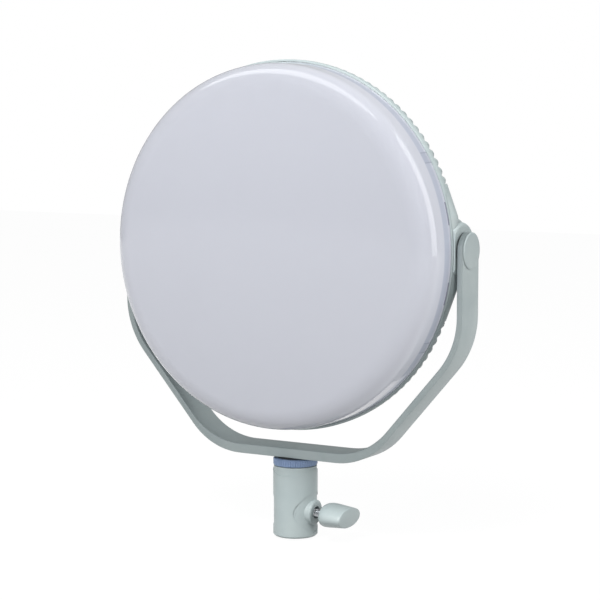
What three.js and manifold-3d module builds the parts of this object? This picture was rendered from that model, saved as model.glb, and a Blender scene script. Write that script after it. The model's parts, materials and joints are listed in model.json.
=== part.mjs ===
// Round LED panel light on a yoke and a stand receiver.
// Millimetres, +Z up, the diffuser faces -Y. The origin is the centre of the receiver's bottom.

import * as THREE from 'three';
import { mergeVertices } from 'three/addons/utils/BufferGeometryUtils.js';
import Module from 'manifold-3d';

const wasm = await Module();
wasm.setup();

// Fits shared by all pieces
const gap = 0.3;                    // between pieces that touch
const overrun = 5;                  // how far a cutter passes what it cuts
const mesh_tolerance = 0.02;        // facets smaller than this are merged

// How finely round forms are divided
const rim_steps = 48;
const large_steps = 36;
const medium_steps = 24;
const small_steps = 12;
const tiny_steps = 8;
const hex_sides = 6;
const slot_sides = 4;
const round_edge_share = 0.33;      // where the middle corner of a rounded edge lies on its chamfer
const first_screw_deg = 45;

// Receiver
const receiver_radius = 17;
const receiver_height = 54.2;
const receiver_foot_edge = 1.3;
const receiver_top_edge = 0.7;
const relief_depth = 0.5;           // how far the scoops and the neck relief sink
const scoop_radius = 15.5;          // round scoop about the clamp axis, on both sides
const neck_relief_radius = 33;      // the relief line on the front is an arc of this radius
const neck_relief_height = 47.7;    // its lowest point
const stud_bore_radius = 8.1;
const stud_bore_depth = 38;
const spigot_radius = 10;
const spigot_height = 5.6;

// Clamp boss, screw and knob, measured along the clamp axis from the receiver's axis
const clamp_height = 19.8;
const clamp_droop_deg = 2.5;
const boss_radius = 9.6;
const boss_reach = 18.5;
const boss_edge = 1.5;
const boss_flare_radius = 14.5;
const boss_flare_start = 8.5;
const boss_flare_end = 16.2;
const clamp_mouth_radius = 4.8;
const clamp_mouth_depth = 4;
const clamp_screw_radius = 3;
const clamp_shoe_length = 2;
const knob_start = 25;
const knob_length = 22.4;
const knob_half_width = 16.9;
const knob_half_height = 9.1;
const knob_end_half_height = 7.3;
const knob_edge = 0.9;
const knob_socket_depth = 11;

// Lock ring and washer between receiver and yoke
const lock_ring_radius = 16.9;
const lock_ring_height = 5.6;
const lock_ring_lift = 0.5;
const lock_ring_edge = 0.7;
const knurl_depth = 0.5;
const knurl_count = 32;
const pan_washer_radius = 14.4;
const pan_washer_thickness = 0.6;

// Yoke
const yoke_bar_thickness = 7.4;
const yoke_slope_thickness = 5.1;
const yoke_arm_thickness = 4.7;
const yoke_depth = 27;
const yoke_side_room = 2.6;         // between the head's rim and the arm
const yoke_bottom_room = 16.1;      // between the head's rim, turned any way, and the bar
const yoke_corner_share = 0.4878;   // reach of the corner of bar and slope, of the rim's radius
const yoke_elbow_share = 0.5144;    // drop of the corner of slope and arm, of the rim's radius
const yoke_lower_bend = 56;
const yoke_elbow_bend = 65;
const yoke_edge = 1.4;

// Pan bolt through the bar
const pan_bolt_radius = 4;
const pan_bolt_head_radius = 7;
const pan_bolt_head_height = 3.2;
const pan_bolt_length = 21;
const pan_bush_wall = 1.2;
const pan_bush_flange = 0.8;

// Tilt pivot
const pivot_above_disc = 1.5;       // the pivot lies this far above the disc's centre
const cap_thickness = 0.75;
const cap_edge = 0.5;
const cap_skirt_radius = 10.2;
const cap_skirt_wall = 1.4;
const arm_web = 1.8;                // what the counterbore leaves of the arm
const pivot_bolt_radius = 3;
const pivot_bolt_head_radius = 6;
const pivot_bolt_head_height = 1.5;
const hex_socket_radius = 2.3;
const bush_wall = 1;
const bush_flange_radius = 8.4;
const bush_flange = 0.6;
const friction_washer_radius = 12.5;
const friction_washer_thickness = 0.6;
const insert_radius = 6.5;
const insert_length = 11;

// Housing hub that meets the arm
const hub_radius = 20.5;
const hub_edge = 2.5;
const hub_depth = 12.1;             // from the rim into the head

// Front ring and diffuser; depths are along Y from the pivot, front negative
const rim_radius = 138.8;
const rim_front = -14.2;
const ring_height = 4.7;
const ring_lip = 1.5;               // width of the lip that frames the diffuser
const ring_ledge = 2;
const ring_ledge_width = 8.8;
const ring_edge = 0.5;
const lens_face = -47.8;
const lens_inset = 2.8;             // the diffuser's side lies this far inside the rim
const lens_shoulder = 17;
const lens_wall = 2;
const lens_tab_count = 6;
const lens_tab_width = 9;
const lens_tab_wall = 2;
const lens_tab_web_height = 3;
const lens_tab_lift = 5;            // from the ledge to the web that carries the tab
const lens_tab_hook = 1.2;

// Rear housing
const rib_count = 120;              // how many would fit if the hubs left none out
const rib_height = 2.3;
const ribs_left_out_deg = 21;       // to each side of a pivot
const shoulder_radius = 14.1;
const back_slope_deg = 10;
const shoulder_leans_deg = [0, 30, 58];
const rim_wall = 5;
const back_wall = 2.6;
const panel_opening_radius = 56;
const panel_ledge_width = 6;        // the panel rests on a ledge round the opening
const pod_rim_width = 12;           // from the panel to the pod's outside
const pod_back = 22;
const pod_edge = 3;
const ledge_thickness = 3;
const panel_thickness = 2.4;

// Inner parts of the head
const plate_front = -4;
const plate_thickness = 2.5;
const plate_inset = 15.8;           // the plate's edge lies this far inside the rim
const led_board_inset = 12;         // and the LED board's edge this far inside the plate
const led_board_thickness = 1.6;
const led_size = 3.4;
const led_height = 0.9;
const led_ring_shares = [0.29, 0.76];
const led_ring_counts = [8, 16];
const reflector_wall = 1.5;
const reflector_flare = 14.2;       // how much wider its mouth is than its foot
const reflector_mouth_depth = -13;
const plate_screw_inset = 3.7;
const plate_screw_count = 4;
const post_radius = 4;
const screw_radius = 1.2;
const screw_head_radius = 2.1;
const screw_head_height = 1.2;
const plate_screw_length = 5;

// Driver and its board; places are [across, up] as shares of the board's width and height
const driver_width = 96;
const driver_height = 62;
const board_thickness = 1.6;
const standoff_height = 5;
const standoff_radius = 3;
const standoff_inset = 6;
const transformer_size = [24, 7, 20];
const transformer_place_shares = [-0.27, 0.13];
const transformer_core_share = 0.5;
const winding_width_share = 0.67;
const winding_sink_share = 0.17;    // how much lower it is than the core
const choke_radius = 9;
const choke_hole_radius = 3.6;
const choke_height = 6.4;
const choke_place_shares = [0.1, 0.23];
const capacitor_radius = 3.4;
const capacitor_length = 16;
const capacitor_place_shares = [[0.27, -0.225], [0.27, -0.065]];
const capacitor_edge = 0.4;

// Control panel and what it carries; places are [across, up] from the disc's centre as shares of
// the opening's radius
const control_board_width_share = 1.57;
const control_board_top_share = 0.69;
const control_board_sink = 7.6;     // from the panel's outer face down to the board's face
const encoder_size = 12;
const encoder_height = 3.6;
const display_width = 40;
const display_height = 22;
const display_rise_share = 0.43;
const display_lip = 2.4;
const window_thickness = 1.4;
const dial_place_shares = [[-0.64, 0.07], [0.64, 0.07]];
const dial_radius = 9.5;
const dial_height = 11;
const dial_edge = 0.8;
const dial_grip_count = 14;
const dial_grip_depth = 0.6;
const dial_shaft_radius = 3;
const dial_lift = 0.4;
const button_place_shares = [[-0.25, -0.04], [0, -0.04], [0.25, -0.04]];
const button_radius = 3.8;
const button_rise = 1.4;
const button_travel = 0.8;
const button_flange = 1;
const button_flange_thickness = 1.2;
const rocker_place_shares = [-0.43, -0.575];
const rocker_width = 8.4;
const rocker_length = 12.6;
const rocker_rise = 1;              // of its higher end above the panel
const rocker_tilt_deg = 6;
const rocker_clearance = 0.9;
const rocker_pin_radius = 1;
const rocker_pin_reach = 1.1;
const rocker_pin_sink = 4.6;        // from the panel's outer face down to the pin's axis
const rocker_foot_share = 0.35;
const switch_wall = 1.5;
const switch_depth = 10.5;
const switch_pocket_depth = 7.6;
const inlet_place_shares = [0, -0.64];
const inlet_radius = 5.6;
const inlet_bore_radius = 3.2;
const inlet_pin_radius = 1;
const inlet_length = 9;
const inlet_floor = 1.5;
const inlet_flange = 1.6;
const inlet_flange_thickness = 0.9;
const socket_place_shares = [0.39, -0.34];
const socket_width = 9;
const socket_thickness = 3.3;
const socket_wall = 0.6;
const socket_length = 7.3;
const socket_floor = 1.2;
const socket_tongue = 0.7;
const panel_screw_count = 4;
const panel_screw_length = 5;
const panel_screw_head_radius = 2.3;
const panel_screw_head_sink = 1.3;

// Materials by what they are
const finishes = {
  mint_paint: { color: 0xb2bebe, roughness: 0.55, metalness: 0.1 },
  opal: { color: 0xdcdde4, roughness: 0.25, metalness: 0 },
  white_plastic: { color: 0xf1f1ee, roughness: 0.6, metalness: 0 },
  dark_plastic: { color: 0x2a2d30, roughness: 0.5, metalness: 0 },
  grey_plastic: { color: 0x7d8788, roughness: 0.5, metalness: 0 },
  clear_window: { color: 0x14181c, roughness: 0.1, metalness: 0 },
  blue_anodised: { color: 0x7687a1, roughness: 0.4, metalness: 0.6 },
  aluminium: { color: 0xb9bdc0, roughness: 0.45, metalness: 0.9 },
  steel: { color: 0xc3c5c8, roughness: 0.3, metalness: 1 },
  brass: { color: 0xc2a25a, roughness: 0.35, metalness: 1 },
  circuit_green: { color: 0x1f5a3a, roughness: 0.6, metalness: 0 },
  circuit_white: { color: 0xe9ebe8, roughness: 0.55, metalness: 0 },
  ferrite: { color: 0x3b3d40, roughness: 0.8, metalness: 0 },
};

// Turns a closed geometry into a solid that can be joined and cut.
function solid(geometry) {
  const bare = geometry.clone();
  bare.deleteAttribute('normal');
  bare.deleteAttribute('uv');
  const merged = mergeVertices(bare);
  const corners = merged.getAttribute('position').array;
  const faces = Uint32Array.from(merged.index.array);
  if (signed_volume(corners, faces) < 0) {
    for (let i = 0; i < faces.length; i += 3) {
      const swap = faces[i];
      faces[i] = faces[i + 1];
      faces[i + 1] = swap;
    }
  }
  return new wasm.Manifold(new wasm.Mesh({
    numProp: 3,
    vertProperties: Float32Array.from(corners),
    triVerts: faces,
  }));
}

function signed_volume(corners, faces) {
  const at = (i) => new THREE.Vector3(corners[3 * i], corners[3 * i + 1], corners[3 * i + 2]);
  let total = 0;
  for (let i = 0; i < faces.length; i += 3) {
    total += at(faces[i]).dot(at(faces[i + 1]).cross(at(faces[i + 2])));
  }
  return total;
}

// Solids that are revolved or extruded stand along Y and are turned to the axis they need.
const turns = {
  x: [0, 0, -90],
  y: [0, 0, 0],
  z: [90, 0, 0],
};

// Revolves [radius, distance] points about the named axis.
function revolve(points, steps, axis = 'y') {
  const profile = points.map(([radius, distance]) => new THREE.Vector2(radius, distance));
  return solid(new THREE.LatheGeometry(profile, steps)).rotate(turns[axis]);
}

// A round rod between two distances along an axis.
function rod(radius, from, to, steps, axis = 'y') {
  return revolve([[0, from], [radius, from], [radius, to], [0, to]], steps, axis);
}

// A tube between two distances along an axis.
function pipe(outer, inner, from, to, steps, axis = 'y') {
  const section = [[inner, from], [outer, from], [outer, to], [inner, to], [inner, from]];
  return revolve(section, steps, axis);
}

// A disc whose far edge is chamfered.
function chamfered_rod(radius, from, to, edge, steps, axis = 'y') {
  const side = to > from ? edge : -edge;
  const outline = [[0, from], [radius, from], [radius, to - side], [radius - edge, to], [0, to]];
  return revolve(outline, steps, axis);
}

// Corners of a rounded edge on an outline, from the side of radius to the end at a distance.
function round_edge(radius, end, edge) {
  const middle = edge * round_edge_share;
  return [[radius, end - edge], [radius - middle, end - middle], [radius - edge, end]];
}

function block(low, high) {
  const size = high.map((value, i) => value - low[i]);
  const middle = high.map((value, i) => (value + low[i]) / 2);
  return solid(new THREE.BoxGeometry(...size)).translate(middle);
}

// Joins neighbouring loops of points with faces. Loops may differ in count: each point's share of
// the turn round the loop says which points lie next to each other.
function stitch(faces, first, second) {
  let i = 0;
  let j = 0;
  const next_share = (loop, step) => (step + 1 < loop.shares.length ? loop.shares[step + 1] : 1);
  while (i < first.shares.length || j < second.shares.length) {
    const a = first.start + i % first.shares.length;
    const b = second.start + j % second.shares.length;
    const first_left = i < first.shares.length;
    const second_left = j < second.shares.length;
    if (first_left && (!second_left || next_share(first, i) <= next_share(second, j))) {
      faces.push(a, first.start + (i + 1) % first.shares.length, b);
      i += 1;
    } else {
      faces.push(a, second.start + (j + 1) % second.shares.length, b);
      j += 1;
    }
  }
}

// Makes a body from loops of points. A closed skin joins its last loop to its first; an open one
// gets a flat end on both.
function skin(rings, closed) {
  const corners = [];
  const faces = [];
  const loops = rings.map(({ points, shares }) => {
    const start = corners.length / 3;
    for (const point of points) corners.push(point.x, point.y, point.z);
    return { start, shares: shares ?? points.map((_, i) => i / points.length) };
  });
  for (let i = 0; i + 1 < loops.length; i += 1) stitch(faces, loops[i], loops[i + 1]);
  if (closed) stitch(faces, loops[loops.length - 1], loops[0]);
  else for (const last of [false, true]) cap_loop(corners, faces, rings, loops, last);
  const geometry = new THREE.BufferGeometry();
  geometry.setAttribute('position', new THREE.Float32BufferAttribute(corners, 3));
  geometry.setIndex(faces);
  return solid(geometry);
}

// Closes the first or the last loop with a fan about its middle.
function cap_loop(corners, faces, rings, loops, last) {
  const points = rings[last ? rings.length - 1 : 0].points;
  const { start } = loops[last ? loops.length - 1 : 0];
  const middle = points.reduce((sum, point) => sum.add(point), new THREE.Vector3());
  middle.divideScalar(points.length);
  corners.push(middle.x, middle.y, middle.z);
  const hub = corners.length / 3 - 1;
  for (let i = 0; i < points.length; i += 1) {
    const a = start + i;
    const b = start + (i + 1) % points.length;
    if (last) faces.push(a, b, hub);
    else faces.push(b, a, hub);
  }
}

// Angles of a pattern of equal steps, in radians.
function around(count, first_deg = 0) {
  return Array.from({ length: count }, (_, i) => THREE.MathUtils.degToRad(first_deg + 360 * i / count));
}

// A point on a circle about the Y axis, as [x, z].
function on_circle(radius, angle) {
  return [radius * Math.cos(angle), radius * Math.sin(angle)];
}

// Points of an arc as [radius, distance] pairs, angles from the outward direction towards +Y.
function arc_points(centre, radius, from_deg, to_deg, steps) {
  return Array.from({ length: steps + 1 }, (_, i) => {
    const angle = THREE.MathUtils.degToRad(from_deg + (to_deg - from_deg) * i / steps);
    return [centre[0] + radius * Math.cos(angle), centre[1] + radius * Math.sin(angle)];
  });
}

// Makes a named mesh from a solid, with a material of its own.
function mesh(name, body, finish) {
  const result = body.simplify(mesh_tolerance).getMesh();
  const geometry = new THREE.BufferGeometry();
  geometry.setAttribute('position', new THREE.Float32BufferAttribute(result.vertProperties, 3));
  geometry.setIndex(Array.from(result.triVerts));
  geometry.computeVertexNormals();
  const made = new THREE.Mesh(geometry, new THREE.MeshStandardMaterial(finishes[finish]));
  made.name = name;
  return made;
}

// A screw whose head sits on the plane at the origin and whose shank runs to -Y.
function screw(shank_radius, head_radius, head_height, length) {
  const outline = [
    [0, -length],
    [shank_radius, -length],
    [shank_radius, 0],
    [head_radius, 0],
    [head_radius, head_height],
    [0, head_height],
  ];
  const slot = rod(shank_radius, head_height / 2, head_height + overrun, slot_sides);
  return revolve(outline, tiny_steps).subtract(slot);
}

// Receiver, with the spigot that the lock ring turns on
const receiver_top = receiver_height;
const spigot_top = receiver_top + spigot_height;
const clamp_droop = THREE.MathUtils.degToRad(clamp_droop_deg);

// Turns a solid made along +X about the origin so that it lies on the drooping clamp axis.
function on_clamp_axis(body) {
  return body.rotate([0, clamp_droop_deg, 0]).translate([0, 0, clamp_height]);
}

function receiver_shell(radius) {
  return revolve([
    [0, 0],
    [radius - receiver_foot_edge, 0],
    [radius, receiver_foot_edge],
    [radius, receiver_top - receiver_top_edge],
    [radius - receiver_top_edge, receiver_top],
    [0, receiver_top],
  ], large_steps, 'z');
}

function make_receiver() {
  const scoop = on_clamp_axis(rod(scoop_radius, -receiver_radius - overrun,
    receiver_radius + overrun, medium_steps, 'x'));
  const neck_centre = neck_relief_height + neck_relief_radius;
  const neck = rod(neck_relief_radius, -receiver_radius - overrun, receiver_radius + overrun, large_steps)
    .translate([0, 0, neck_centre]);
  const boss = on_clamp_axis(revolve([
    [0, 0],
    [boss_flare_radius, 0],
    [boss_flare_radius, boss_flare_start],
    ...flare_points(),
    ...round_edge(boss_radius, boss_reach, boss_edge),
    [0, boss_reach],
  ], medium_steps, 'x'));
  const mouth = on_clamp_axis(rod(clamp_mouth_radius, boss_reach - clamp_mouth_depth,
    boss_reach + overrun, small_steps, 'x'));
  const thread = on_clamp_axis(rod(clamp_screw_radius + gap, 0, boss_reach, small_steps, 'x'));
  const stud_bore = rod(stud_bore_radius, -overrun, stud_bore_depth, medium_steps, 'z');
  const bolt_bore = rod(pan_bolt_radius + gap, stud_bore_depth - overrun,
    spigot_top + overrun, small_steps, 'z');
  const spigot = rod(spigot_radius, receiver_top - overrun, spigot_top, medium_steps, 'z');
  return receiver_shell(receiver_radius)
    .subtract(scoop)
    .subtract(neck)
    .add(receiver_shell(receiver_radius - relief_depth))
    .add(boss)
    .add(spigot)
    .subtract(stud_bore)
    .subtract(bolt_bore)
    .subtract(mouth)
    .subtract(thread);
}

// Hollow curve from the wide foot of the clamp boss to its tube.
function flare_points() {
  const rise = boss_flare_end - boss_flare_start;
  const spread = boss_flare_radius - boss_radius;
  const steps = 4;
  return Array.from({ length: steps }, (_, i) => {
    const turn = (Math.PI / 2) * (i + 1) / steps;
    return [
      boss_flare_radius - spread * Math.sin(turn),
      boss_flare_start + rise * (1 - Math.cos(turn)),
    ];
  });
}

// Clamp screw with its brass shoe and its knob, along +X from the receiver's axis
const shoe_tip = stud_bore_radius + gap;
const screw_tip = shoe_tip + clamp_shoe_length + gap;

function make_clamp_shoe() {
  return rod(clamp_screw_radius, shoe_tip, shoe_tip + clamp_shoe_length, small_steps, 'x');
}

function make_clamp_screw() {
  const end = knob_start + knob_socket_depth - gap;
  return revolve([
    [0, screw_tip],
    [clamp_screw_radius, screw_tip],
    [clamp_screw_radius, end],
    [0, end],
  ], small_steps, 'x');
}

// The grip's half width and half height grow fast at the screw end and taper to the far end.
const knob_station_shares = [0, 0.03, 0.1, 0.19, 0.31, 0.5, 0.96, 1];
const knob_width_shares = [0.34, 0.5, 0.7, 0.86, 0.97, 1, 0.99, 0.99];
const knob_height_shares = [0.5, 0.68, 0.86, 0.96, 1, 1, 1, 1];

function make_clamp_knob() {
  const loops = knob_station_shares.map((share, station) => {
    const last = station === knob_station_shares.length - 1;
    const taper = knob_half_height + (knob_end_half_height - knob_half_height) * share;
    const half_width = knob_half_width * knob_width_shares[station] - (last ? knob_edge : 0);
    const half_height = taper * knob_height_shares[station] - (last ? knob_edge : 0);
    return around(medium_steps).map((angle) => new THREE.Vector3(
      knob_start + knob_length * share,
      half_width * Math.cos(angle),
      half_height * Math.sin(angle),
    ));
  });
  const bore = rod(clamp_screw_radius + gap, knob_start - overrun,
    knob_start + knob_socket_depth, small_steps, 'x');
  return skin(loops.map((points) => ({ points })), false).subtract(bore);
}

// Lock ring with straight knurls, and the washer above it
const lock_ring_bottom = receiver_top + lock_ring_lift;
const lock_ring_top = lock_ring_bottom + lock_ring_height;

function make_lock_ring() {
  const inset = lock_ring_edge;
  const loops = [
    [inset, lock_ring_bottom],
    [0, lock_ring_bottom + inset],
    [0, lock_ring_top - inset],
    [inset, lock_ring_top],
  ].map(([sunk, height]) => {
    const points = around(2 * knurl_count).map((angle, i) => {
      const radius = lock_ring_radius - sunk - (i % 2) * knurl_depth;
      return new THREE.Vector3(radius * Math.cos(angle), radius * Math.sin(angle), height);
    });
    return { points };
  });
  const bore = rod(spigot_radius + gap, lock_ring_bottom - overrun, lock_ring_top + overrun,
    medium_steps, 'z');
  return skin(loops, false).subtract(bore);
}

function make_pan_washer() {
  const bottom = lock_ring_top + gap;
  return pipe(pan_washer_radius, pan_bolt_radius + gap, bottom, bottom + pan_washer_thickness,
    medium_steps, 'z');
}

// Pan bolt and the flanged bush that carries the yoke on it
const yoke_bottom = lock_ring_top + pan_washer_thickness + 2 * gap;
const yoke_bar_top = yoke_bottom + yoke_bar_thickness;
const bush_radius = pan_bolt_radius + gap + pan_bush_wall;
const counterbore_floor = yoke_bar_top - pan_bolt_head_height - pan_bush_flange - 2 * gap;

function make_pan_bolt() {
  const head_bottom = counterbore_floor + pan_bush_flange + 2 * gap;
  const head = chamfered_rod(pan_bolt_head_radius, head_bottom, head_bottom + pan_bolt_head_height,
    cap_edge, small_steps, 'z');
  const shank = rod(pan_bolt_radius, head_bottom - pan_bolt_length, head_bottom + overrun / 2,
    small_steps, 'z');
  const socket = rod(pan_bolt_radius, head_bottom + pan_bolt_head_height / 2,
    head_bottom + pan_bolt_head_height + overrun, hex_sides, 'z');
  return head.add(shank).subtract(socket);
}

function make_pan_bush() {
  const flange_bottom = counterbore_floor + gap;
  const inner = pan_bolt_radius + gap;
  return revolve([
    [inner, yoke_bottom],
    [bush_radius, yoke_bottom],
    [bush_radius, flange_bottom],
    [pan_bolt_head_radius, flange_bottom],
    [pan_bolt_head_radius, flange_bottom + pan_bush_flange],
    [inner, flange_bottom + pan_bush_flange],
    [inner, yoke_bottom],
  ], small_steps, 'z');
}

// Yoke: a flat bar that bends up into slopes and again into upright arms. The head's rim sets its
// width and the pivot's height. Its path is drawn for the right half, outside and inside.
const arm_inner = rim_radius + yoke_side_room;
const arm_outer = arm_inner + yoke_arm_thickness;
const pivot_height = yoke_bar_top + yoke_bottom_room + rim_radius;

// Where two lines, each a point and a direction, cross
function crossing(line_a, line_b) {
  const [p, d] = line_a;
  const [q, e] = line_b;
  const scale = (e.x * (q.y - p.y) - e.y * (q.x - p.x)) / (e.x * d.y - e.y * d.x);
  return p.clone().addScaledVector(d, scale);
}

// Corners of one side of the bent bar, from the middle to the top of the arm.
function side_corners(inset_bar, inset_slope, inset_arm) {
  const corner = new THREE.Vector2(yoke_corner_share * rim_radius, yoke_bottom);
  const elbow = new THREE.Vector2(arm_outer, pivot_height - yoke_elbow_share * rim_radius);
  const along_slope = elbow.clone().sub(corner).normalize();
  const inward = new THREE.Vector2(-along_slope.y, along_slope.x);
  const slope = [corner.clone().addScaledVector(inward, inset_slope), along_slope];
  const bar = [new THREE.Vector2(0, yoke_bottom + inset_bar), new THREE.Vector2(1, 0)];
  const arm = [new THREE.Vector2(arm_outer - inset_arm, 0), new THREE.Vector2(0, 1)];
  return [
    bar[0],
    crossing(bar, slope),
    crossing(slope, arm),
    new THREE.Vector2(arm_outer - inset_arm, pivot_height),
  ];
}

// The same corners with the two bends rounded, as a list of points of fixed count.
function side_path(corners, radii, steps) {
  const path = [corners[0]];
  for (let i = 1; i + 1 < corners.length; i += 1) {
    const before = corners[i - 1].clone().sub(corners[i]).normalize();
    const after = corners[i + 1].clone().sub(corners[i]).normalize();
    const half_angle = Math.acos(THREE.MathUtils.clamp(before.dot(after), -1, 1)) / 2;
    const reach = radii[i - 1] / Math.tan(half_angle);
    const start = corners[i].clone().addScaledVector(before, reach);
    const towards_centre = before.clone().add(after).normalize();
    const centre = corners[i].clone().addScaledVector(towards_centre, radii[i - 1] / Math.sin(half_angle));
    const sweep = Math.PI - 2 * half_angle;
    for (let step = 0; step <= steps; step += 1) {
      const arm = start.clone().sub(centre).rotateAround(new THREE.Vector2(), sweep * step / steps);
      path.push(centre.clone().add(arm));
    }
  }
  path.push(corners[corners.length - 1]);
  return path;
}

// A loop round the bar at one place, with its long edges chamfered.
function bar_section(outside, inside, half_depth) {
  const across = inside.clone().sub(outside);
  const edge_share = yoke_edge / across.length();
  const corners = [
    [0, -half_depth + yoke_edge],
    [edge_share, -half_depth],
    [1 - edge_share, -half_depth],
    [1, -half_depth + yoke_edge],
    [1, half_depth - yoke_edge],
    [1 - edge_share, half_depth],
    [edge_share, half_depth],
    [0, half_depth - yoke_edge],
  ];
  return corners.map(([share, depth]) => new THREE.Vector3(
    outside.x + across.x * share,
    depth,
    outside.y + across.y * share,
  ));
}

function make_yoke() {
  const bend_steps = 5;
  const half_depth = yoke_depth / 2;
  const outside = side_path(side_corners(0, 0, 0), [yoke_lower_bend, yoke_elbow_bend], bend_steps);
  const inside = side_path(
    side_corners(yoke_bar_thickness, yoke_slope_thickness, yoke_arm_thickness),
    [yoke_lower_bend, yoke_elbow_bend - yoke_slope_thickness],
    bend_steps,
  );
  const half = outside.map((point, i) => bar_section(point, inside[i], half_depth));
  // The arm's end is a half circle, so its depth shrinks towards the top.
  const top_steps = 6;
  for (let step = 1; step <= top_steps; step += 1) {
    const angle = (Math.PI / 2) * step / top_steps;
    const rise = new THREE.Vector2(0, half_depth * Math.sin(angle));
    const depth = Math.max(half_depth * Math.cos(angle), 2 * yoke_edge);
    const last = outside.length - 1;
    half.push(bar_section(outside[last].clone().add(rise), inside[last].clone().add(rise), depth));
  }
  const mirrored = half.slice(1).reverse().map((loop) => loop.map((point) => (
    new THREE.Vector3(-point.x, point.y, point.z)
  )));
  let body = skin([...mirrored, ...half].map((points) => ({ points })), false);
  const bar_hole = rod(bush_radius + gap, yoke_bottom - overrun, yoke_bar_top, small_steps, 'z');
  const bar_counterbore = rod(pan_bolt_head_radius + gap, counterbore_floor, yoke_bar_top + overrun,
    small_steps, 'z');
  body = body.subtract(bar_hole).subtract(bar_counterbore);
  for (const side of [0, 180]) {
    const counterbore = rod(cap_skirt_radius + gap, arm_inner + arm_web, arm_outer + overrun,
      medium_steps, 'x');
    const hole = rod(pivot_bolt_radius + gap + bush_wall + gap, arm_inner - overrun, arm_outer,
      small_steps, 'x');
    const cuts = counterbore.add(hole).rotate([0, 0, side]).translate([0, 0, pivot_height]);
    body = body.subtract(cuts);
  }
  return body;
}

// Pivot pieces, made for the right side along +X from the pivot's middle
const hub_face = arm_inner - 2 * gap - friction_washer_thickness;

function make_pivot_cap() {
  const under = arm_outer + gap;
  const plate = chamfered_rod(yoke_depth / 2, under, under + cap_thickness, cap_edge,
    medium_steps, 'x');
  const skirt_start = arm_inner + arm_web + bush_flange + 2 * gap;
  const skirt = pipe(cap_skirt_radius, cap_skirt_radius - cap_skirt_wall, skirt_start,
    under + cap_thickness / 2, medium_steps, 'x');
  return plate.add(skirt);
}

function make_pivot_bush() {
  const inner = pivot_bolt_radius + gap;
  const flange_start = arm_inner + arm_web + gap;
  return revolve([
    [inner, arm_inner],
    [inner + bush_wall, arm_inner],
    [inner + bush_wall, flange_start],
    [bush_flange_radius, flange_start],
    [bush_flange_radius, flange_start + bush_flange],
    [inner, flange_start + bush_flange],
    [inner, arm_inner],
  ], small_steps, 'x');
}

function make_pivot_bolt() {
  const head_start = arm_inner + arm_web + bush_flange + 2 * gap;
  const head = chamfered_rod(pivot_bolt_head_radius, head_start, head_start + pivot_bolt_head_height,
    cap_edge, small_steps, 'x');
  const tip = hub_face - insert_length;
  const shank = rod(pivot_bolt_radius, tip, head_start + pivot_bolt_head_height / 2, small_steps, 'x');
  const socket = rod(hex_socket_radius, head_start + pivot_bolt_head_height / 2,
    head_start + pivot_bolt_head_height + overrun, hex_sides, 'x');
  return head.add(shank).subtract(socket);
}

function make_friction_washer() {
  return pipe(friction_washer_radius, pivot_bolt_radius + gap, hub_face + gap, arm_inner - gap,
    medium_steps, 'x');
}

function make_pivot_insert() {
  return pipe(insert_radius, pivot_bolt_radius + gap, hub_face - gap - insert_length, hub_face - gap,
    small_steps, 'x');
}

// Front diffuser: an opal pan, thin-walled, with snap tabs that hook behind the ring's ledge
const ring_back = rim_front + ring_height;
const ledge_front = ring_back - ring_ledge;
const lens_foot = ledge_front - gap;
const lens_foot_radius = rim_radius - ring_lip - gap;
const ledge_inner = lens_foot_radius + gap - ring_ledge_width + ring_lip;

function make_front_diffuser() {
  const shoulder_steps = 4;
  const lens_radius = rim_radius - lens_inset;
  const turn_centre = [lens_radius - lens_shoulder, lens_face + lens_shoulder];
  const outer = arc_points(turn_centre, lens_shoulder, -90, 0, shoulder_steps);
  const inner = arc_points(turn_centre, lens_shoulder - lens_wall, 0, -90, shoulder_steps - 1);
  const pan = revolve([
    [0, lens_face],
    ...outer,
    [lens_foot_radius, rim_front],
    [lens_foot_radius, lens_foot],
    [lens_foot_radius - lens_wall, lens_foot],
    ...inner,
    [0, lens_face + lens_wall],
  ], rim_steps);
  const tab_outer = ledge_inner - 2 * gap;
  const tab_inner = tab_outer - lens_tab_wall;
  const web_back = ledge_front - lens_tab_lift;
  const hook_front = ring_back + gap;
  const half = lens_tab_width / 2;
  const tab = block(
    [tab_inner, web_back - lens_tab_web_height, -half],
    [tab_outer, hook_front + lens_tab_hook, half],
  );
  const web = block(
    [tab_inner, web_back - lens_tab_web_height, -half],
    [lens_foot_radius - lens_wall / 2, web_back, half],
  );
  const hook = block(
    [tab_inner, hook_front, -half],
    [tab_outer + lens_tab_hook, hook_front + lens_tab_hook, half],
  );
  const clip = tab.add(web).add(hook);
  let body = pan;
  for (let i = 0; i < lens_tab_count; i += 1) {
    const turn = 360 * (i + 0.5) / lens_tab_count;
    body = body.add(clip.rotate([0, turn, 0]));
  }
  return body;
}

function make_front_ring() {
  return revolve([
    [ledge_inner, ledge_front],
    [lens_foot_radius + gap, ledge_front],
    [lens_foot_radius + gap, rim_front],
    [rim_radius - ring_edge, rim_front],
    [rim_radius, rim_front + ring_edge],
    [rim_radius, ring_back],
    [ledge_inner, ring_back],
    [ledge_inner, ledge_front],
  ], rim_steps);
}

// Rear housing. Round ribs cross its rim and run over the shoulder and down the sloping back.
const panel_radius = panel_opening_radius + panel_ledge_width;
const pod_radius = panel_radius + pod_rim_width;
const panel_screw_circle = panel_opening_radius + panel_ledge_width / 2;
const housing_front = ring_back + gap;
const shoulder_centre = [rim_radius - shoulder_radius, housing_front];
const back_slope = THREE.MathUtils.degToRad(back_slope_deg);
const rib_pitch_deg = 360 / rib_count;
const rib_profile_shares = [[-0.5, 0], [-0.3, 0.78], [0, 1], [0.3, 0.78]];

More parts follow.
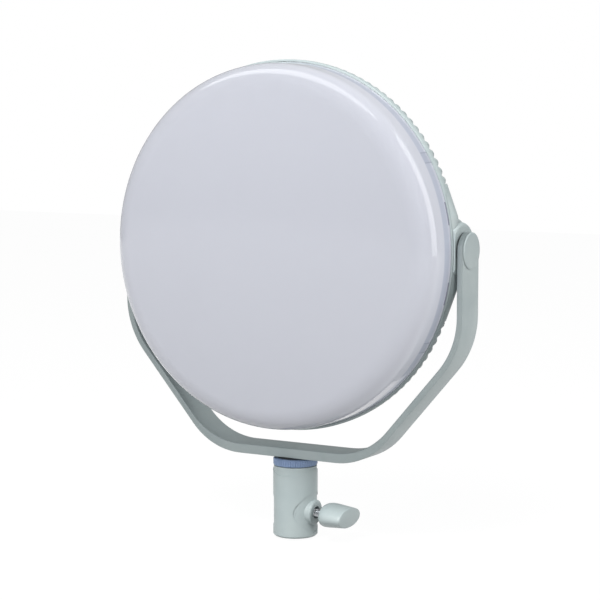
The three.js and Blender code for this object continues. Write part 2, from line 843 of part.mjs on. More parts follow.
// Angles round the rim with how far a rib rises there, from 0 in a valley to 1 on a crest.
function rim_samples() {
  const samples = [];
  for (let rib = 0; rib < rib_count; rib += 1) {
    const crest_deg = (rib + 0.5) * rib_pitch_deg;
    const from_pivot = Math.min(crest_deg % 180, 180 - crest_deg % 180);
    const plain = from_pivot < ribs_left_out_deg;
    for (const [offset_share, rise] of rib_profile_shares) {
      const deg = crest_deg + offset_share * rib_pitch_deg;
      const edge = Math.min(deg % 180, 180 - deg % 180) > ribs_left_out_deg - rib_pitch_deg / 8;
      if (!plain) samples.push([deg, rise]);
      else if (offset_share === -0.5) samples.push([deg, edge ? 0 : 1]);
    }
  }
  return samples.map(([deg, rise]) => [THREE.MathUtils.degToRad(deg), rise]);
}

// Rings of the ribbed outside, from the front edge over the shoulder to where the slope starts.
function ribbed_rings() {
  const samples = rim_samples();
  const inner = shoulder_radius - rib_height;
  return [...shoulder_leans_deg, 90 - back_slope_deg].map((deg) => {
    const lean = THREE.MathUtils.degToRad(deg);
    const points = samples.map(([angle, rise]) => {
      const reach = inner + rib_height * rise;
      const [x, z] = on_circle(shoulder_centre[0] + reach * Math.cos(lean), angle);
      return new THREE.Vector3(x, shoulder_centre[1] + reach * Math.sin(lean), z);
    });
    return { points, shares: samples.map(([angle]) => angle / (2 * Math.PI)) };
  });
}

// Depth of the sloping back, outside, at a radius.
const slope_start = shoulder_centre[0] + (shoulder_radius - rib_height) * Math.sin(back_slope);
const slope_start_depth = shoulder_centre[1] + (shoulder_radius - rib_height) * Math.cos(back_slope);

function slope_depth(radius) {
  return slope_start_depth + (slope_start - radius) * Math.tan(back_slope);
}

function plain_ring([radius, depth]) {
  const points = around(rim_steps).map((angle) => {
    const [x, z] = on_circle(radius, angle);
    return new THREE.Vector3(x, depth, z);
  });
  return { points };
}

// One closed skin: the ribbed outside, the pod with its seat for the panel, and the inside.
const panel_seat = pod_back - panel_thickness - gap;

function housing_shell() {
  const rim_inside = rim_radius - rib_height - rim_wall;
  const pod_inside = pod_radius - rim_wall;
  const plain = [
    [pod_radius, slope_depth(pod_radius)],
    ...round_edge(pod_radius, pod_back, pod_edge),
    [panel_radius + gap, pod_back],
    [panel_radius + gap, panel_seat],
    [panel_opening_radius, panel_seat],
    [panel_opening_radius, panel_seat - ledge_thickness],
    [pod_inside, panel_seat - ledge_thickness],
    [pod_inside, slope_depth(pod_inside) - back_wall],
    [slope_start, slope_start_depth - back_wall],
    [rim_inside, housing_front + back_wall],
    [rim_inside, housing_front],
  ].map(plain_ring);
  return skin([...ribbed_rings(), ...plain], true);
}

function make_rear_housing() {
  let body = housing_shell();
  for (const side of [0, 180]) body = add_hub(body, side);
  const screw_tip_depth = plate_front - gap + plate_screw_length;
  for (const angle of around(plate_screw_count, first_screw_deg)) {
    const [x, z] = on_circle(plate_screw_circle, angle);
    const post = rod(post_radius, plate_back + gap, slope_start_depth, tiny_steps).translate([x, 0, z]);
    const hole = rod(screw_radius + gap, plate_back - overrun, screw_tip_depth + gap, tiny_steps)
      .translate([x, 0, z]);
    body = body.add(post).subtract(hole);
  }
  for (const angle of around(panel_screw_count, first_screw_deg)) {
    const [x, z] = on_circle(panel_screw_circle, angle);
    body = body.subtract(rod(screw_radius + gap, panel_seat - ledge_thickness - overrun, pod_back,
      tiny_steps).translate([x, 0, z]));
  }
  return body;
}

// The hub is a round boss about the tilt axis, cut flat where the front ring passes.
function add_hub(body, side) {
  const inner = rim_radius - hub_depth;
  const turned = (shape) => shape.rotate([0, 0, side]).translate([0, 0, pivot_above_disc]);
  const drum = turned(revolve([
    [0, inner],
    [hub_radius, inner],
    ...round_edge(hub_radius, hub_face, hub_edge),
    [0, hub_face],
  ], medium_steps, 'x'));
  const front = block(
    [-hub_face - overrun, -hub_radius - overrun, -hub_radius - overrun],
    [hub_face + overrun, housing_front, hub_radius + overrun],
  );
  const bore = turned(rod(insert_radius + gap, hub_face - insert_length - 2 * gap,
    hub_face + overrun, small_steps, 'x'));
  return body.add(drum.subtract(front)).subtract(bore);
}

// Plate, LED board and reflector
const plate_back = plate_front + plate_thickness;
const plate_radius = rim_radius - plate_inset;
const plate_screw_circle = plate_radius - plate_screw_inset;
const led_board_radius = plate_radius - led_board_inset;
const led_board_back = plate_front - gap;
const led_board_front = led_board_back - led_board_thickness;

function make_heat_plate() {
  let plate = rod(plate_radius, plate_front, plate_back, large_steps);
  for (const angle of around(plate_screw_count, first_screw_deg)) {
    const [x, z] = on_circle(plate_screw_circle, angle);
    plate = plate.subtract(rod(screw_radius + gap, plate_front - overrun, plate_back + overrun,
      tiny_steps).translate([x, 0, z]));
  }
  return plate;
}

function make_led_board() {
  let board = rod(led_board_radius, led_board_front, led_board_back, large_steps);
  const half = led_size / 2;
  const package_block = block(
    [-half, led_board_front - led_height, -half],
    [half, led_board_front + led_height, half],
  );
  led_ring_shares.forEach((share, ring) => {
    for (const angle of around(led_ring_counts[ring])) {
      const [x, z] = on_circle(led_board_radius * share, angle);
      board = board.add(package_block.translate([x, 0, z]));
    }
  });
  return board;
}

function make_reflector_ring() {
  const inner = led_board_radius + gap;
  return revolve([
    [inner, led_board_back],
    [inner + reflector_wall, led_board_back],
    [inner + reflector_flare + reflector_wall, reflector_mouth_depth],
    [inner + reflector_flare, reflector_mouth_depth],
    [inner, led_board_front],
    [inner, led_board_back],
  ], large_steps);
}

// Driver board behind the plate, on four standoffs
const board_front = plate_back + standoff_height;
const board_back = board_front + board_thickness;
const part_seat = board_back + gap;

function make_driver_board() {
  return block(
    [-driver_width / 2, board_front, -driver_height / 2],
    [driver_width / 2, board_back, driver_height / 2],
  );
}

function make_standoff() {
  return rod(standoff_radius, plate_back + gap, board_front - gap, hex_sides);
}

// A place on the driver board, as [x, z].
function on_driver([across_share, up_share]) {
  return [driver_width * across_share, driver_height * up_share];
}

// Standoff places at the board's corners, as [x, z].
function standoff_places() {
  const x = driver_width / 2 - standoff_inset;
  const z = driver_height / 2 - standoff_inset;
  return [[-x, -z], [x, -z], [x, z], [-x, z]];
}

function make_transformer() {
  const [width, depth, height] = transformer_size;
  const core = block(
    [-width / 2, part_seat, -height * transformer_core_share / 2],
    [width / 2, part_seat + depth, height * transformer_core_share / 2],
  );
  const half_winding = width * winding_width_share / 2;
  const winding_depth = depth * (1 - winding_sink_share);
  const winding = block(
    [-half_winding, part_seat, -height / 2],
    [half_winding, part_seat + winding_depth, height / 2],
  );
  return core.add(winding);
}

function make_choke() {
  return pipe(choke_radius, choke_hole_radius, part_seat, part_seat + choke_height, small_steps);
}

function make_capacitor() {
  const half = capacitor_length / 2;
  return chamfered_rod(capacitor_radius, -half, half, capacitor_edge, small_steps, 'x')
    .translate([0, part_seat + capacitor_radius, 0]);
}

// Control panel, closing the pod from behind
const on_panel = (shares) => shares.map((share) => share * panel_opening_radius);
const display_rise = display_rise_share * panel_opening_radius;
const dial_places = dial_place_shares.map(on_panel);
const button_places = button_place_shares.map(on_panel);
const rocker_place = on_panel(rocker_place_shares);
const inlet_place = on_panel(inlet_place_shares);
const socket_place = on_panel(socket_place_shares);
const panel_inside = pod_back - panel_thickness;
const control_board_face = pod_back - control_board_sink;

function make_control_panel() {
  let panel = chamfered_rod(panel_radius, panel_inside, pod_back, cap_edge, large_steps);
  const cut = (shape) => {
    panel = panel.subtract(shape);
  };
  const half_width = display_width / 2;
  const half_height = display_height / 2;
  const window_floor = pod_back - window_thickness - gap;
  cut(block(
    [-half_width - gap, window_floor, display_rise - half_height - gap],
    [half_width + gap, pod_back + overrun, display_rise + half_height + gap],
  ));
  cut(block(
    [-half_width + display_lip, panel_inside - overrun, display_rise - half_height + display_lip],
    [half_width - display_lip, pod_back, display_rise + half_height - display_lip],
  ));
  for (const [x, z] of dial_places) {
    cut(rod(dial_shaft_radius + gap, panel_inside - overrun, pod_back + overrun, small_steps)
      .translate([x, 0, z]));
  }
  for (const [x, z] of button_places) {
    cut(rod(button_radius + gap, panel_inside - overrun, pod_back + overrun, small_steps)
      .translate([x, 0, z]));
  }
  const [rocker_x, rocker_z] = rocker_place;
  cut(block(
    [rocker_x - rocker_width / 2 - gap, panel_inside - overrun,
      rocker_z - rocker_length / 2 - rocker_clearance],
    [rocker_x + rocker_width / 2 + gap, pod_back + overrun,
      rocker_z + rocker_length / 2 + rocker_clearance],
  ));
  cut(rod(inlet_radius + gap, panel_inside - overrun, pod_back + overrun, small_steps)
    .translate([inlet_place[0], 0, inlet_place[1]]));
  cut(stadium(socket_width + 2 * gap, socket_thickness + 2 * gap, panel_inside - overrun,
    pod_back + overrun).translate([socket_place[0], 0, socket_place[1]]));
  for (const angle of around(panel_screw_count, first_screw_deg)) {
    const [x, z] = on_circle(panel_screw_circle, angle);
    cut(rod(screw_radius + gap, panel_inside - overrun, pod_back + overrun, tiny_steps)
      .translate([x, 0, z]));
    cut(rod(panel_screw_head_radius + gap, pod_back - panel_screw_head_sink - gap, pod_back + overrun,
      tiny_steps).translate([x, 0, z]));
  }
  return panel;
}

// A bar with round ends, lying across, between two depths.
function stadium(width, height, from, to) {
  const radius = height / 2;
  const reach = width / 2 - radius;
  const shape = new THREE.Shape();
  shape.absarc(reach, 0, radius, -Math.PI / 2, Math.PI / 2, false);
  shape.absarc(-reach, 0, radius, Math.PI / 2, 3 * Math.PI / 2, false);
  const geometry = new THREE.ExtrudeGeometry(shape, {
    depth: to - from,
    bevelEnabled: false,
    curveSegments: small_steps / 2,
  });
  return solid(geometry).rotate([90, 0, 0]).translate([0, to, 0]);
}

// Control board with the display module, the encoders and the switches that the buttons press.
// It ends just above the power switch.
function make_control_board() {
  const face = control_board_face;
  const root = face - board_thickness / 2;
  const reach = panel_opening_radius * control_board_width_share / 2;
  const bottom = rocker_place[1] + rocker_length / 2 + rocker_clearance + switch_wall + 2 * gap;
  const top = panel_opening_radius * control_board_top_share;
  let board = block([-reach, face - board_thickness, bottom], [reach, face, top]);
  const half_width = display_width / 2;
  const half_height = display_height / 2;
  board = board.add(block(
    [-half_width, root, display_rise - half_height],
    [half_width, panel_inside - gap, display_rise + half_height],
  ));
  const half = encoder_size / 2;
  for (const [x, z] of dial_places) {
    board = board.add(block([x - half, root, z - half], [x + half, face + encoder_height, z + half]));
  }
  const switch_top = panel_inside - gap - button_flange_thickness - button_travel - gap;
  for (const [x, z] of button_places) {
    board = board.add(block(
      [x - button_radius, root, z - button_radius],
      [x + button_radius, switch_top, z + button_radius],
    ));
  }
  return board;
}

function make_display_window() {
  const half_width = display_width / 2;
  const half_height = display_height / 2;
  return block(
    [-half_width, pod_back - window_thickness, display_rise - half_height],
    [half_width, pod_back, display_rise + half_height],
  );
}

// A dial with shallow grips round it and the shaft that enters the encoder.
function make_dial() {
  const bottom = pod_back + dial_lift;
  const top = bottom + dial_height;
  const shaft_end = control_board_face + encoder_height + gap;
  const loops = [
    [0, bottom],
    [0, top - dial_edge],
    [dial_edge, top],
  ].map(([sunk, depth]) => {
    const points = around(2 * dial_grip_count).map((angle, i) => {
      const [x, z] = on_circle(dial_radius - sunk - (i % 2) * dial_grip_depth, angle);
      return new THREE.Vector3(x, depth, z);
    });
    return { points };
  });
  return skin(loops, false).add(rod(dial_shaft_radius, shaft_end, bottom + dial_edge, small_steps));
}

function make_button() {
  const flange_top = panel_inside - gap;
  return revolve([
    [0, flange_top - button_flange_thickness],
    [button_radius + button_flange, flange_top - button_flange_thickness],
    [button_radius + button_flange, flange_top],
    [button_radius, flange_top],
    [button_radius, pod_back + button_rise - dial_edge / 2],
    [button_radius - dial_edge / 2, pod_back + button_rise],
    [0, pod_back + button_rise],
  ], small_steps);
}

// Rocker with a shallow valley across its face and pins at its sides, made about the pins' axis
function make_rocker() {
  const half = rocker_length / 2;
  const foot = half * rocker_foot_share;
  const top = rocker_pin_sink + rocker_rise;
  const shape = new THREE.Shape([
    new THREE.Vector2(-foot, -2 * rocker_pin_radius),
    new THREE.Vector2(foot, -2 * rocker_pin_radius),
    new THREE.Vector2(half, rocker_pin_sink / 2),
    new THREE.Vector2(half, top - rocker_rise / 2),
    new THREE.Vector2(0, top - rocker_rise),
    new THREE.Vector2(-half, top - rocker_rise / 2),
    new THREE.Vector2(-half, rocker_pin_sink / 2),
  ]);
  const geometry = new THREE.ExtrudeGeometry(shape, { depth: rocker_width, bevelEnabled: false });
  const body = solid(geometry).translate([0, 0, -rocker_width / 2]).rotate([0, 90, 0]);
  const pin_half = rocker_width / 2 + rocker_pin_reach;
  return body.add(rod(rocker_pin_radius, -pin_half, pin_half, tiny_steps, 'x'))
    .rotate([rocker_tilt_deg, 0, 0]);
}

// Box behind the panel that the rocker's pins turn in
function make_power_switch() {
  const half_width = rocker_width / 2 + gap;
  const half_length = rocker_length / 2 + rocker_clearance;
  const top = panel_inside - gap;
  const box = block(
    [-half_width - switch_wall, pod_back - switch_depth, -half_length - switch_wall],
    [half_width + switch_wall, top, half_length + switch_wall],
  );
  const pocket = block(
    [-half_width, pod_back - switch_pocket_depth, -half_length],
    [half_width, top + overrun, half_length],
  );
  const pin_holes = rod(rocker_pin_radius + gap, -half_width - switch_wall - overrun,
    half_width + switch_wall + overrun, tiny_steps, 'x').translate([0, pod_back - rocker_pin_sink, 0]);
  return box.subtract(pocket).subtract(pin_holes);
}

// Round power inlet with its centre pin at the bottom of the bore.
function make_power_inlet() {
  const flange_back = panel_inside - gap;
  return revolve([
    [0, pod_back - inlet_length],
    [inlet_radius, pod_back - inlet_length],
    [inlet_radius, flange_back - inlet_flange_thickness],
    [inlet_radius + inlet_flange, flange_back - inlet_flange_thickness],
    [inlet_radius + inlet_flange, flange_back],
    [inlet_radius, flange_back],
    [inlet_radius, pod_back],
    [inlet_bore_radius, pod_back],
    [inlet_bore_radius, pod_back - inlet_length + inlet_floor],
    [inlet_pin_radius, pod_back - inlet_length + inlet_floor],
    [inlet_pin_radius, pod_back - inlet_floor],
    [0, pod_back - inlet_floor],
  ], small_steps);
}

// Flat data socket: a thin sleeve with a tongue inside.
function make_data_socket() {
  const back = pod_back - socket_length;
  const sleeve = stadium(socket_width, socket_thickness, back, pod_back);
  const mouth = stadium(socket_width - 2 * socket_wall, socket_thickness - 2 * socket_wall,
    back + socket_floor, pod_back + overrun);
  const tongue_half = socket_width / 2 - socket_thickness / 2;
  const tongue = block(
    [-tongue_half, back + socket_floor / 2, -socket_tongue / 2],
    [tongue_half, pod_back - socket_floor, socket_tongue / 2],
  );
  return sleeve.subtract(mouth).add(tongue);
}

// Assembly: the stand end, then the yoke, then the head on its pivot
const light = new THREE.Group();

light.add(mesh('receiver', make_receiver(), 'mint_paint'));
light.add(mesh('lock_ring', make_lock_ring(), 'blue_anodised'));
light.add(mesh('pan_washer', make_pan_washer(), 'dark_plastic'));
light.add(mesh('pan_bolt', make_pan_bolt(), 'steel'));
light.add(mesh('pan_bush', make_pan_bush(), 'dark_plastic'));
light.add(mesh('yoke', make_yoke(), 'mint_paint'));

const clamp = new THREE.Group();
clamp.position.z = clamp_height;
clamp.rotation.y = clamp_droop;
clamp.add(mesh('clamp_shoe', make_clamp_shoe(), 'brass'));
clamp.add(mesh('clamp_screw', make_clamp_screw(), 'steel'));
clamp.add(mesh('clamp_knob', make_clamp_knob(), 'mint_paint'));
light.add(clamp);

const pivot = new THREE.Group();
pivot.position.z = pivot_height;
light.add(pivot);

for (const [side, turn] of [['right', 0], ['left', Math.PI]]) {
  const hardware = new THREE.Group();
  hardware.rotation.z = turn;
  hardware.add(mesh(`pivot_cap_${side}`, make_pivot_cap(), 'mint_paint'));
  hardware.add(mesh(`pivot_bush_${side}`, make_pivot_bush(), 'dark_plastic'));
  hardware.add(mesh(`pivot_bolt_${side}`, make_pivot_bolt(), 'steel'));
  hardware.add(mesh(`friction_washer_${side}`, make_friction_washer(), 'dark_plastic'));
  hardware.add(mesh(`pivot_insert_${side}`, make_pivot_insert(), 'brass'));
  pivot.add(hardware);
}

// The head's pieces are placed about the disc's centre, a little below the pivot.
const head = new THREE.Group();
head.position.z = -pivot_above_disc;
pivot.add(head);

head.add(mesh('front_diffuser', make_front_diffuser(), 'opal'));
head.add(mesh('front_ring', make_front_ring(), 'mint_paint'));
head.add(mesh('rear_housing', make_rear_housing(), 'mint_paint'));
head.add(mesh('heat_plate', make_heat_plate(), 'aluminium'));
head.add(mesh('led_board', make_led_board(), 'circuit_white'));
head.add(mesh('reflector_ring', make_reflector_ring(), 'white_plastic'));
head.add(mesh('driver_board', make_driver_board(), 'circuit_green'));
head.add(mesh('control_board', make_control_board(), 'circuit_green'));
head.add(mesh('control_panel', make_control_panel(), 'grey_plastic'));
head.add(mesh('display_window', make_display_window(), 'clear_window'));

// Puts a piece made about the disc's centre at [across, up].
function place(piece, [x, z]) {
  piece.position.set(x, 0, z);
  head.add(piece);
}

standoff_places().forEach((spot, i) => {
  place(mesh(`board_standoff_${i + 1}`, make_standoff(), 'brass'), spot);
});
place(mesh('driver_transformer', make_transformer(), 'ferrite'), on_driver(transformer_place_shares));
place(mesh('driver_choke', make_choke(), 'ferrite'), on_driver(choke_place_shares));
capacitor_place_shares.forEach((shares, i) => {
  place(mesh(`driver_capacitor_${i + 1}`, make_capacitor(), 'dark_plastic'), on_driver(shares));
});
['dial_left', 'dial_right'].forEach((name, i) => {
  place(mesh(name, make_dial(), 'dark_plastic'), dial_places[i]);
});
['button_left', 'button_middle', 'button_right'].forEach((name, i) => {
  place(mesh(name, make_button(), 'dark_plastic'), button_places[i]);
});
place(mesh('power_inlet', make_power_inlet(), 'dark_plastic'), inlet_place);
place(mesh('data_socket', make_data_socket(), 'steel'), socket_place);

const rocker = mesh('power_rocker', make_rocker(), 'dark_plastic');
place(rocker, rocker_place);
rocker.position.y = pod_back - rocker_pin_sink;
place(mesh('power_switch', make_power_switch(), 'dark_plastic'), rocker_place);

around(panel_screw_count, first_screw_deg).forEach((angle, i) => {
  const piece = mesh(`panel_screw_${i + 1}`,
    screw(screw_radius, panel_screw_head_radius, panel_screw_head_sink, panel_screw_length), 'steel');
  place(piece, on_circle(panel_screw_circle, angle));
  piece.position.y = pod_back - panel_screw_head_sink;
});

// Screws that enter from the front are turned end for end.
function front_screw(name, seat, length, spot) {
  const piece = mesh(name, screw(screw_radius, screw_head_radius, screw_head_height, length), 'steel');
  piece.rotation.z = Math.PI;
  place(piece, spot);
  piece.position.y = seat - gap;
}

around(plate_screw_count, first_screw_deg).forEach((angle, i) => {
  front_screw(`plate_screw_${i + 1}`, plate_front, plate_screw_length,
    on_circle(plate_screw_circle, angle));
});

export default light;
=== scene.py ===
# %% [markdown]
# A round LED panel light, modelled and dressed step by step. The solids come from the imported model,
# which sets every place and size. This lesson replaces the faceted solids that show with smooth
# ones, gives each surface a node material, and lights the whole with soft lamps.

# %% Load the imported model
import json
import math
import bpy
from mathutils import Matrix, Vector


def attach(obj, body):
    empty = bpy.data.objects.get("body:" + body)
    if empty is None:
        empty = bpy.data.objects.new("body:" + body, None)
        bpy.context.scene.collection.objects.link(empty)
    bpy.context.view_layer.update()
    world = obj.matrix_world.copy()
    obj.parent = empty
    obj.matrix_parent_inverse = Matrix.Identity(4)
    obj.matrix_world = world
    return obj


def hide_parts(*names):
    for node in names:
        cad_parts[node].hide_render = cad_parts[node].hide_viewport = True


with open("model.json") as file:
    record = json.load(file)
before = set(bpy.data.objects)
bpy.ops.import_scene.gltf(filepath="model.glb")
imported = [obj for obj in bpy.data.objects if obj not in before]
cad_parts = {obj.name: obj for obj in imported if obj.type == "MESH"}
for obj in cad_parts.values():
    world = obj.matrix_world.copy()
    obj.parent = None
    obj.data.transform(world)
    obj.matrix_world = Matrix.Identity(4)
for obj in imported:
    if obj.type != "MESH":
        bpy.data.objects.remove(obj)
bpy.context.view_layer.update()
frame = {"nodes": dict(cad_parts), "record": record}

# %% [markdown]
# The scene is in metres, with the stand's axis upright through the origin and the light's front
# towards -Y. Sizes are written in millimetres, as on a drawing. Two points are named, because most
# of the head is turned about the first, and all that tilts meets at the second.

# %% Units and places
mm = 0.001
disc_height = 222.3
pivot_height = 223.8
disc = Vector((0, 0, disc_height)) * mm
pivot = Vector((0, 0, pivot_height)) * mm
origin = (0, 0, 0)
print("disc centre", disc, "pivot", pivot)

# %% [markdown]
# The camera comes first, because everything is judged through it. It stands to the right of the
# light's front and a little above it, and looks from far away through a long lens, so the round
# front becomes a slim ellipse with almost no perspective. It is placed by its angles round the
# object, which is easier to reason about than by coordinates.

# %% Camera
azimuth = math.radians(30.31)
elevation = math.radians(6.20)
distance = 1505.4 * mm
aim = Vector((4.02, 0.0, 180.68)) * mm
back_from_aim = Vector((
    math.sin(azimuth) * math.cos(elevation),
    -math.cos(azimuth) * math.cos(elevation),
    math.sin(elevation),
))
camera_data = bpy.data.cameras.new("photo_camera")
camera_data.lens = 119.6
camera_data.sensor_width = 36
camera_data.clip_end = 20
camera = bpy.data.objects.new("photo_camera", camera_data)
bpy.context.scene.collection.objects.link(camera)
camera.location = aim + back_from_aim * distance
camera.rotation_euler = (-back_from_aim).to_track_quat("-Z", "Y").to_euler()
bpy.context.scene.camera = camera
print("camera at", [round(v, 3) for v in camera.location])

# %% [markdown]
# Small helpers keep the modelling steps short. Each one does what a modeller does by hand: clear
# the selection, enter edit mode, pick faces by where they are, apply a modifier. A finished piece
# has its place in its mesh, so its object stays at the origin.

# %% Helpers for objects
def clear_selection():
    if bpy.context.object and bpy.context.object.mode != "OBJECT":
        bpy.ops.object.mode_set(mode="OBJECT")
    bpy.ops.object.select_all(action="DESELECT")


def pick(*pieces):
    clear_selection()
    for piece in pieces:
        piece.select_set(True)
    bpy.context.view_layer.objects.active = pieces[0]


def settle(piece):
    pick(piece)
    bpy.ops.object.transform_apply(location=True, rotation=True, scale=True)
    return piece


def apply_modifier(piece, kind, **settings):
    pick(piece)
    modifier = piece.modifiers.new(kind.lower(), kind)
    for key, value in settings.items():
        setattr(modifier, key, value)
    bpy.ops.object.modifier_apply(modifier=modifier.name)


def join(name, *pieces):
    pick(*pieces)
    if len(pieces) > 1:
        bpy.ops.object.join()
    pieces[0].name = name
    return pieces[0]


# %% [markdown]
# Shaping is done in edit mode on whole pieces. After each step that can leave double points or
# turned faces, the mesh is cleaned. Round walls are shaded smooth up to an angle, so that real
# edges stay crisp.

# %% Helpers for shaping
def edit(piece, selected=True):
    pick(piece)
    bpy.ops.object.mode_set(mode="EDIT")
    bpy.ops.mesh.select_mode(type="VERT")
    bpy.ops.mesh.select_all(action="SELECT" if selected else "DESELECT")


def leave_edit():
    bpy.ops.object.mode_set(mode="OBJECT")


def clean(piece, merge=0.00001):
    edit(piece)
    bpy.ops.mesh.remove_doubles(threshold=merge)
    bpy.ops.mesh.normals_make_consistent(inside=False)
    leave_edit()
    return piece


def smooth(piece, angle=35):
    pick(piece)
    bpy.ops.object.shade_smooth_by_angle(angle=math.radians(angle))
    return piece


def turn_about(piece, centre, degrees):
    """Turns a piece's mesh about a line through a centre, from front to back."""
    edit(piece)
    bpy.ops.transform.rotate(value=math.radians(degrees), orient_axis="Y", orient_type="GLOBAL",
                             center_override=centre)
    leave_edit()
    return piece


def round_edges(piece, width, segments=3, angle=40):
    apply_modifier(piece, "BEVEL", width=width * mm, segments=segments, limit_method="ANGLE",
                   angle_limit=math.radians(angle), harden_normals=False)
    return piece


def cut(piece, *cutters, operation="DIFFERENCE"):
    for cutter in cutters:
        apply_modifier(piece, "BOOLEAN", object=cutter, operation=operation, solver="EXACT")
        bpy.data.objects.remove(cutter, do_unlink=True)
    return piece


# %% [markdown]
# Most parts of a light are turned. Their outlines are drawn point by point with extrude, starting
# from one vertex, as with a pen, and then swept round their axis with the spin tool.

# %% Helpers for drawn and turned parts
directions = {"X": Vector((1, 0, 0)), "Y": Vector((0, 1, 0)), "Z": Vector((0, 0, 1))}


def draw_line(name, points, closed=False):
    """Extrudes one vertex through points in millimetres."""
    clear_selection()
    first = Vector(points[0]) * mm
    bpy.ops.mesh.primitive_plane_add(size=1 * mm, location=first)
    piece = bpy.context.object
    piece.name = name
    settle(piece)
    edit(piece)
    bpy.ops.mesh.merge(type="CENTER")
    here = first
    for point in points[1:]:
        there = Vector(point) * mm
        bpy.ops.mesh.extrude_region_move(TRANSFORM_OT_translate={"value": there - here})
        here = there
    if closed:
        bpy.ops.mesh.select_all(action="SELECT")
        bpy.ops.mesh.edge_face_add()
    leave_edit()
    return piece


def turned(name, points, centre, axis, steps=128, ring=False):
    """Spins [radius, distance] points about an axis through a centre."""
    along = directions[axis]
    out = directions["X" if axis == "Z" else "Z"]
    middle = Vector(centre) / mm
    line = [middle + out * radius + along * distance for radius, distance in points]
    piece = draw_line(name, line)
    edit(piece)
    if ring:
        bpy.ops.mesh.edge_face_add()
        bpy.ops.mesh.delete(type="ONLY_FACE")
        bpy.ops.mesh.select_all(action="SELECT")
    bpy.ops.mesh.spin(steps=steps, angle=2 * math.pi, center=Vector(centre), axis=along)
    leave_edit()
    return clean(piece)


def arc(centre, radius, start, end, steps):
    """Points of an arc as [radius, distance], angles in degrees from outwards to along the axis."""
    angles = [math.radians(start + (end - start) * i / steps) for i in range(steps + 1)]
    return [(centre[0] + radius * math.cos(a), centre[1] + radius * math.sin(a)) for a in angles]


# %% [markdown]
# Holes, seats and grooves are cut with plain cylinders and boxes, which stand for the real drills
# and mills. A flat part is a drawn outline that is filled and pushed to its depth.

# %% Helpers for plain solids
def rod(name, radius, start, end, centre, axis, steps=64):
    """A plain cylinder between two distances along an axis, used mostly as a cutter."""
    clear_selection()
    turn = {"X": (0, math.pi / 2, 0), "Y": (math.pi / 2, 0, 0), "Z": (0, 0, 0)}[axis]
    middle = Vector(centre) + directions[axis] * (start + end) / 2 * mm
    bpy.ops.mesh.primitive_cylinder_add(vertices=steps, radius=radius * mm,
                                        depth=(end - start) * mm, location=middle, rotation=turn)
    piece = bpy.context.object
    piece.name = name
    return settle(piece)


def pivot_rod(name, radius, near, far, side):
    """A cylinder about the tilt axis, between two distances out to one side."""
    start, end = sorted((side * near, side * far))
    return rod(name, radius, start, end, pivot, "X")


def block(name, low, high):
    """A box between two corners in millimetres."""
    clear_selection()
    low, high = Vector(low) * mm, Vector(high) * mm
    bpy.ops.mesh.primitive_cube_add(size=1, location=(low + high) / 2)
    piece = bpy.context.object
    piece.name = name
    piece.scale = high - low
    return settle(piece)


def extruded(name, outline, push):
    """Fills a drawn outline and pushes it along one direction, both in millimetres."""
    piece = draw_line(name, outline, closed=True)
    edit(piece)
    bpy.ops.mesh.extrude_region_move(TRANSFORM_OT_translate={"value": Vector(push) * mm})
    leave_edit()
    return clean(piece)


# %% [markdown]
# A finish is a small node tree. Paint and moulded plastic are never one even colour: they have a
# faint cloudiness, and a fine grain that breaks up reflections. Both come from noise on object
# coordinates, so they stay on the surface in every view.

# %% Helper for finishes
def srgb(red, green, blue):
    def linear(value):
        share = value / 255
        return share / 12.92 if share <= 0.04045 else ((share + 0.055) / 1.055) ** 2.4
    return (linear(red), linear(green), linear(blue), 1)


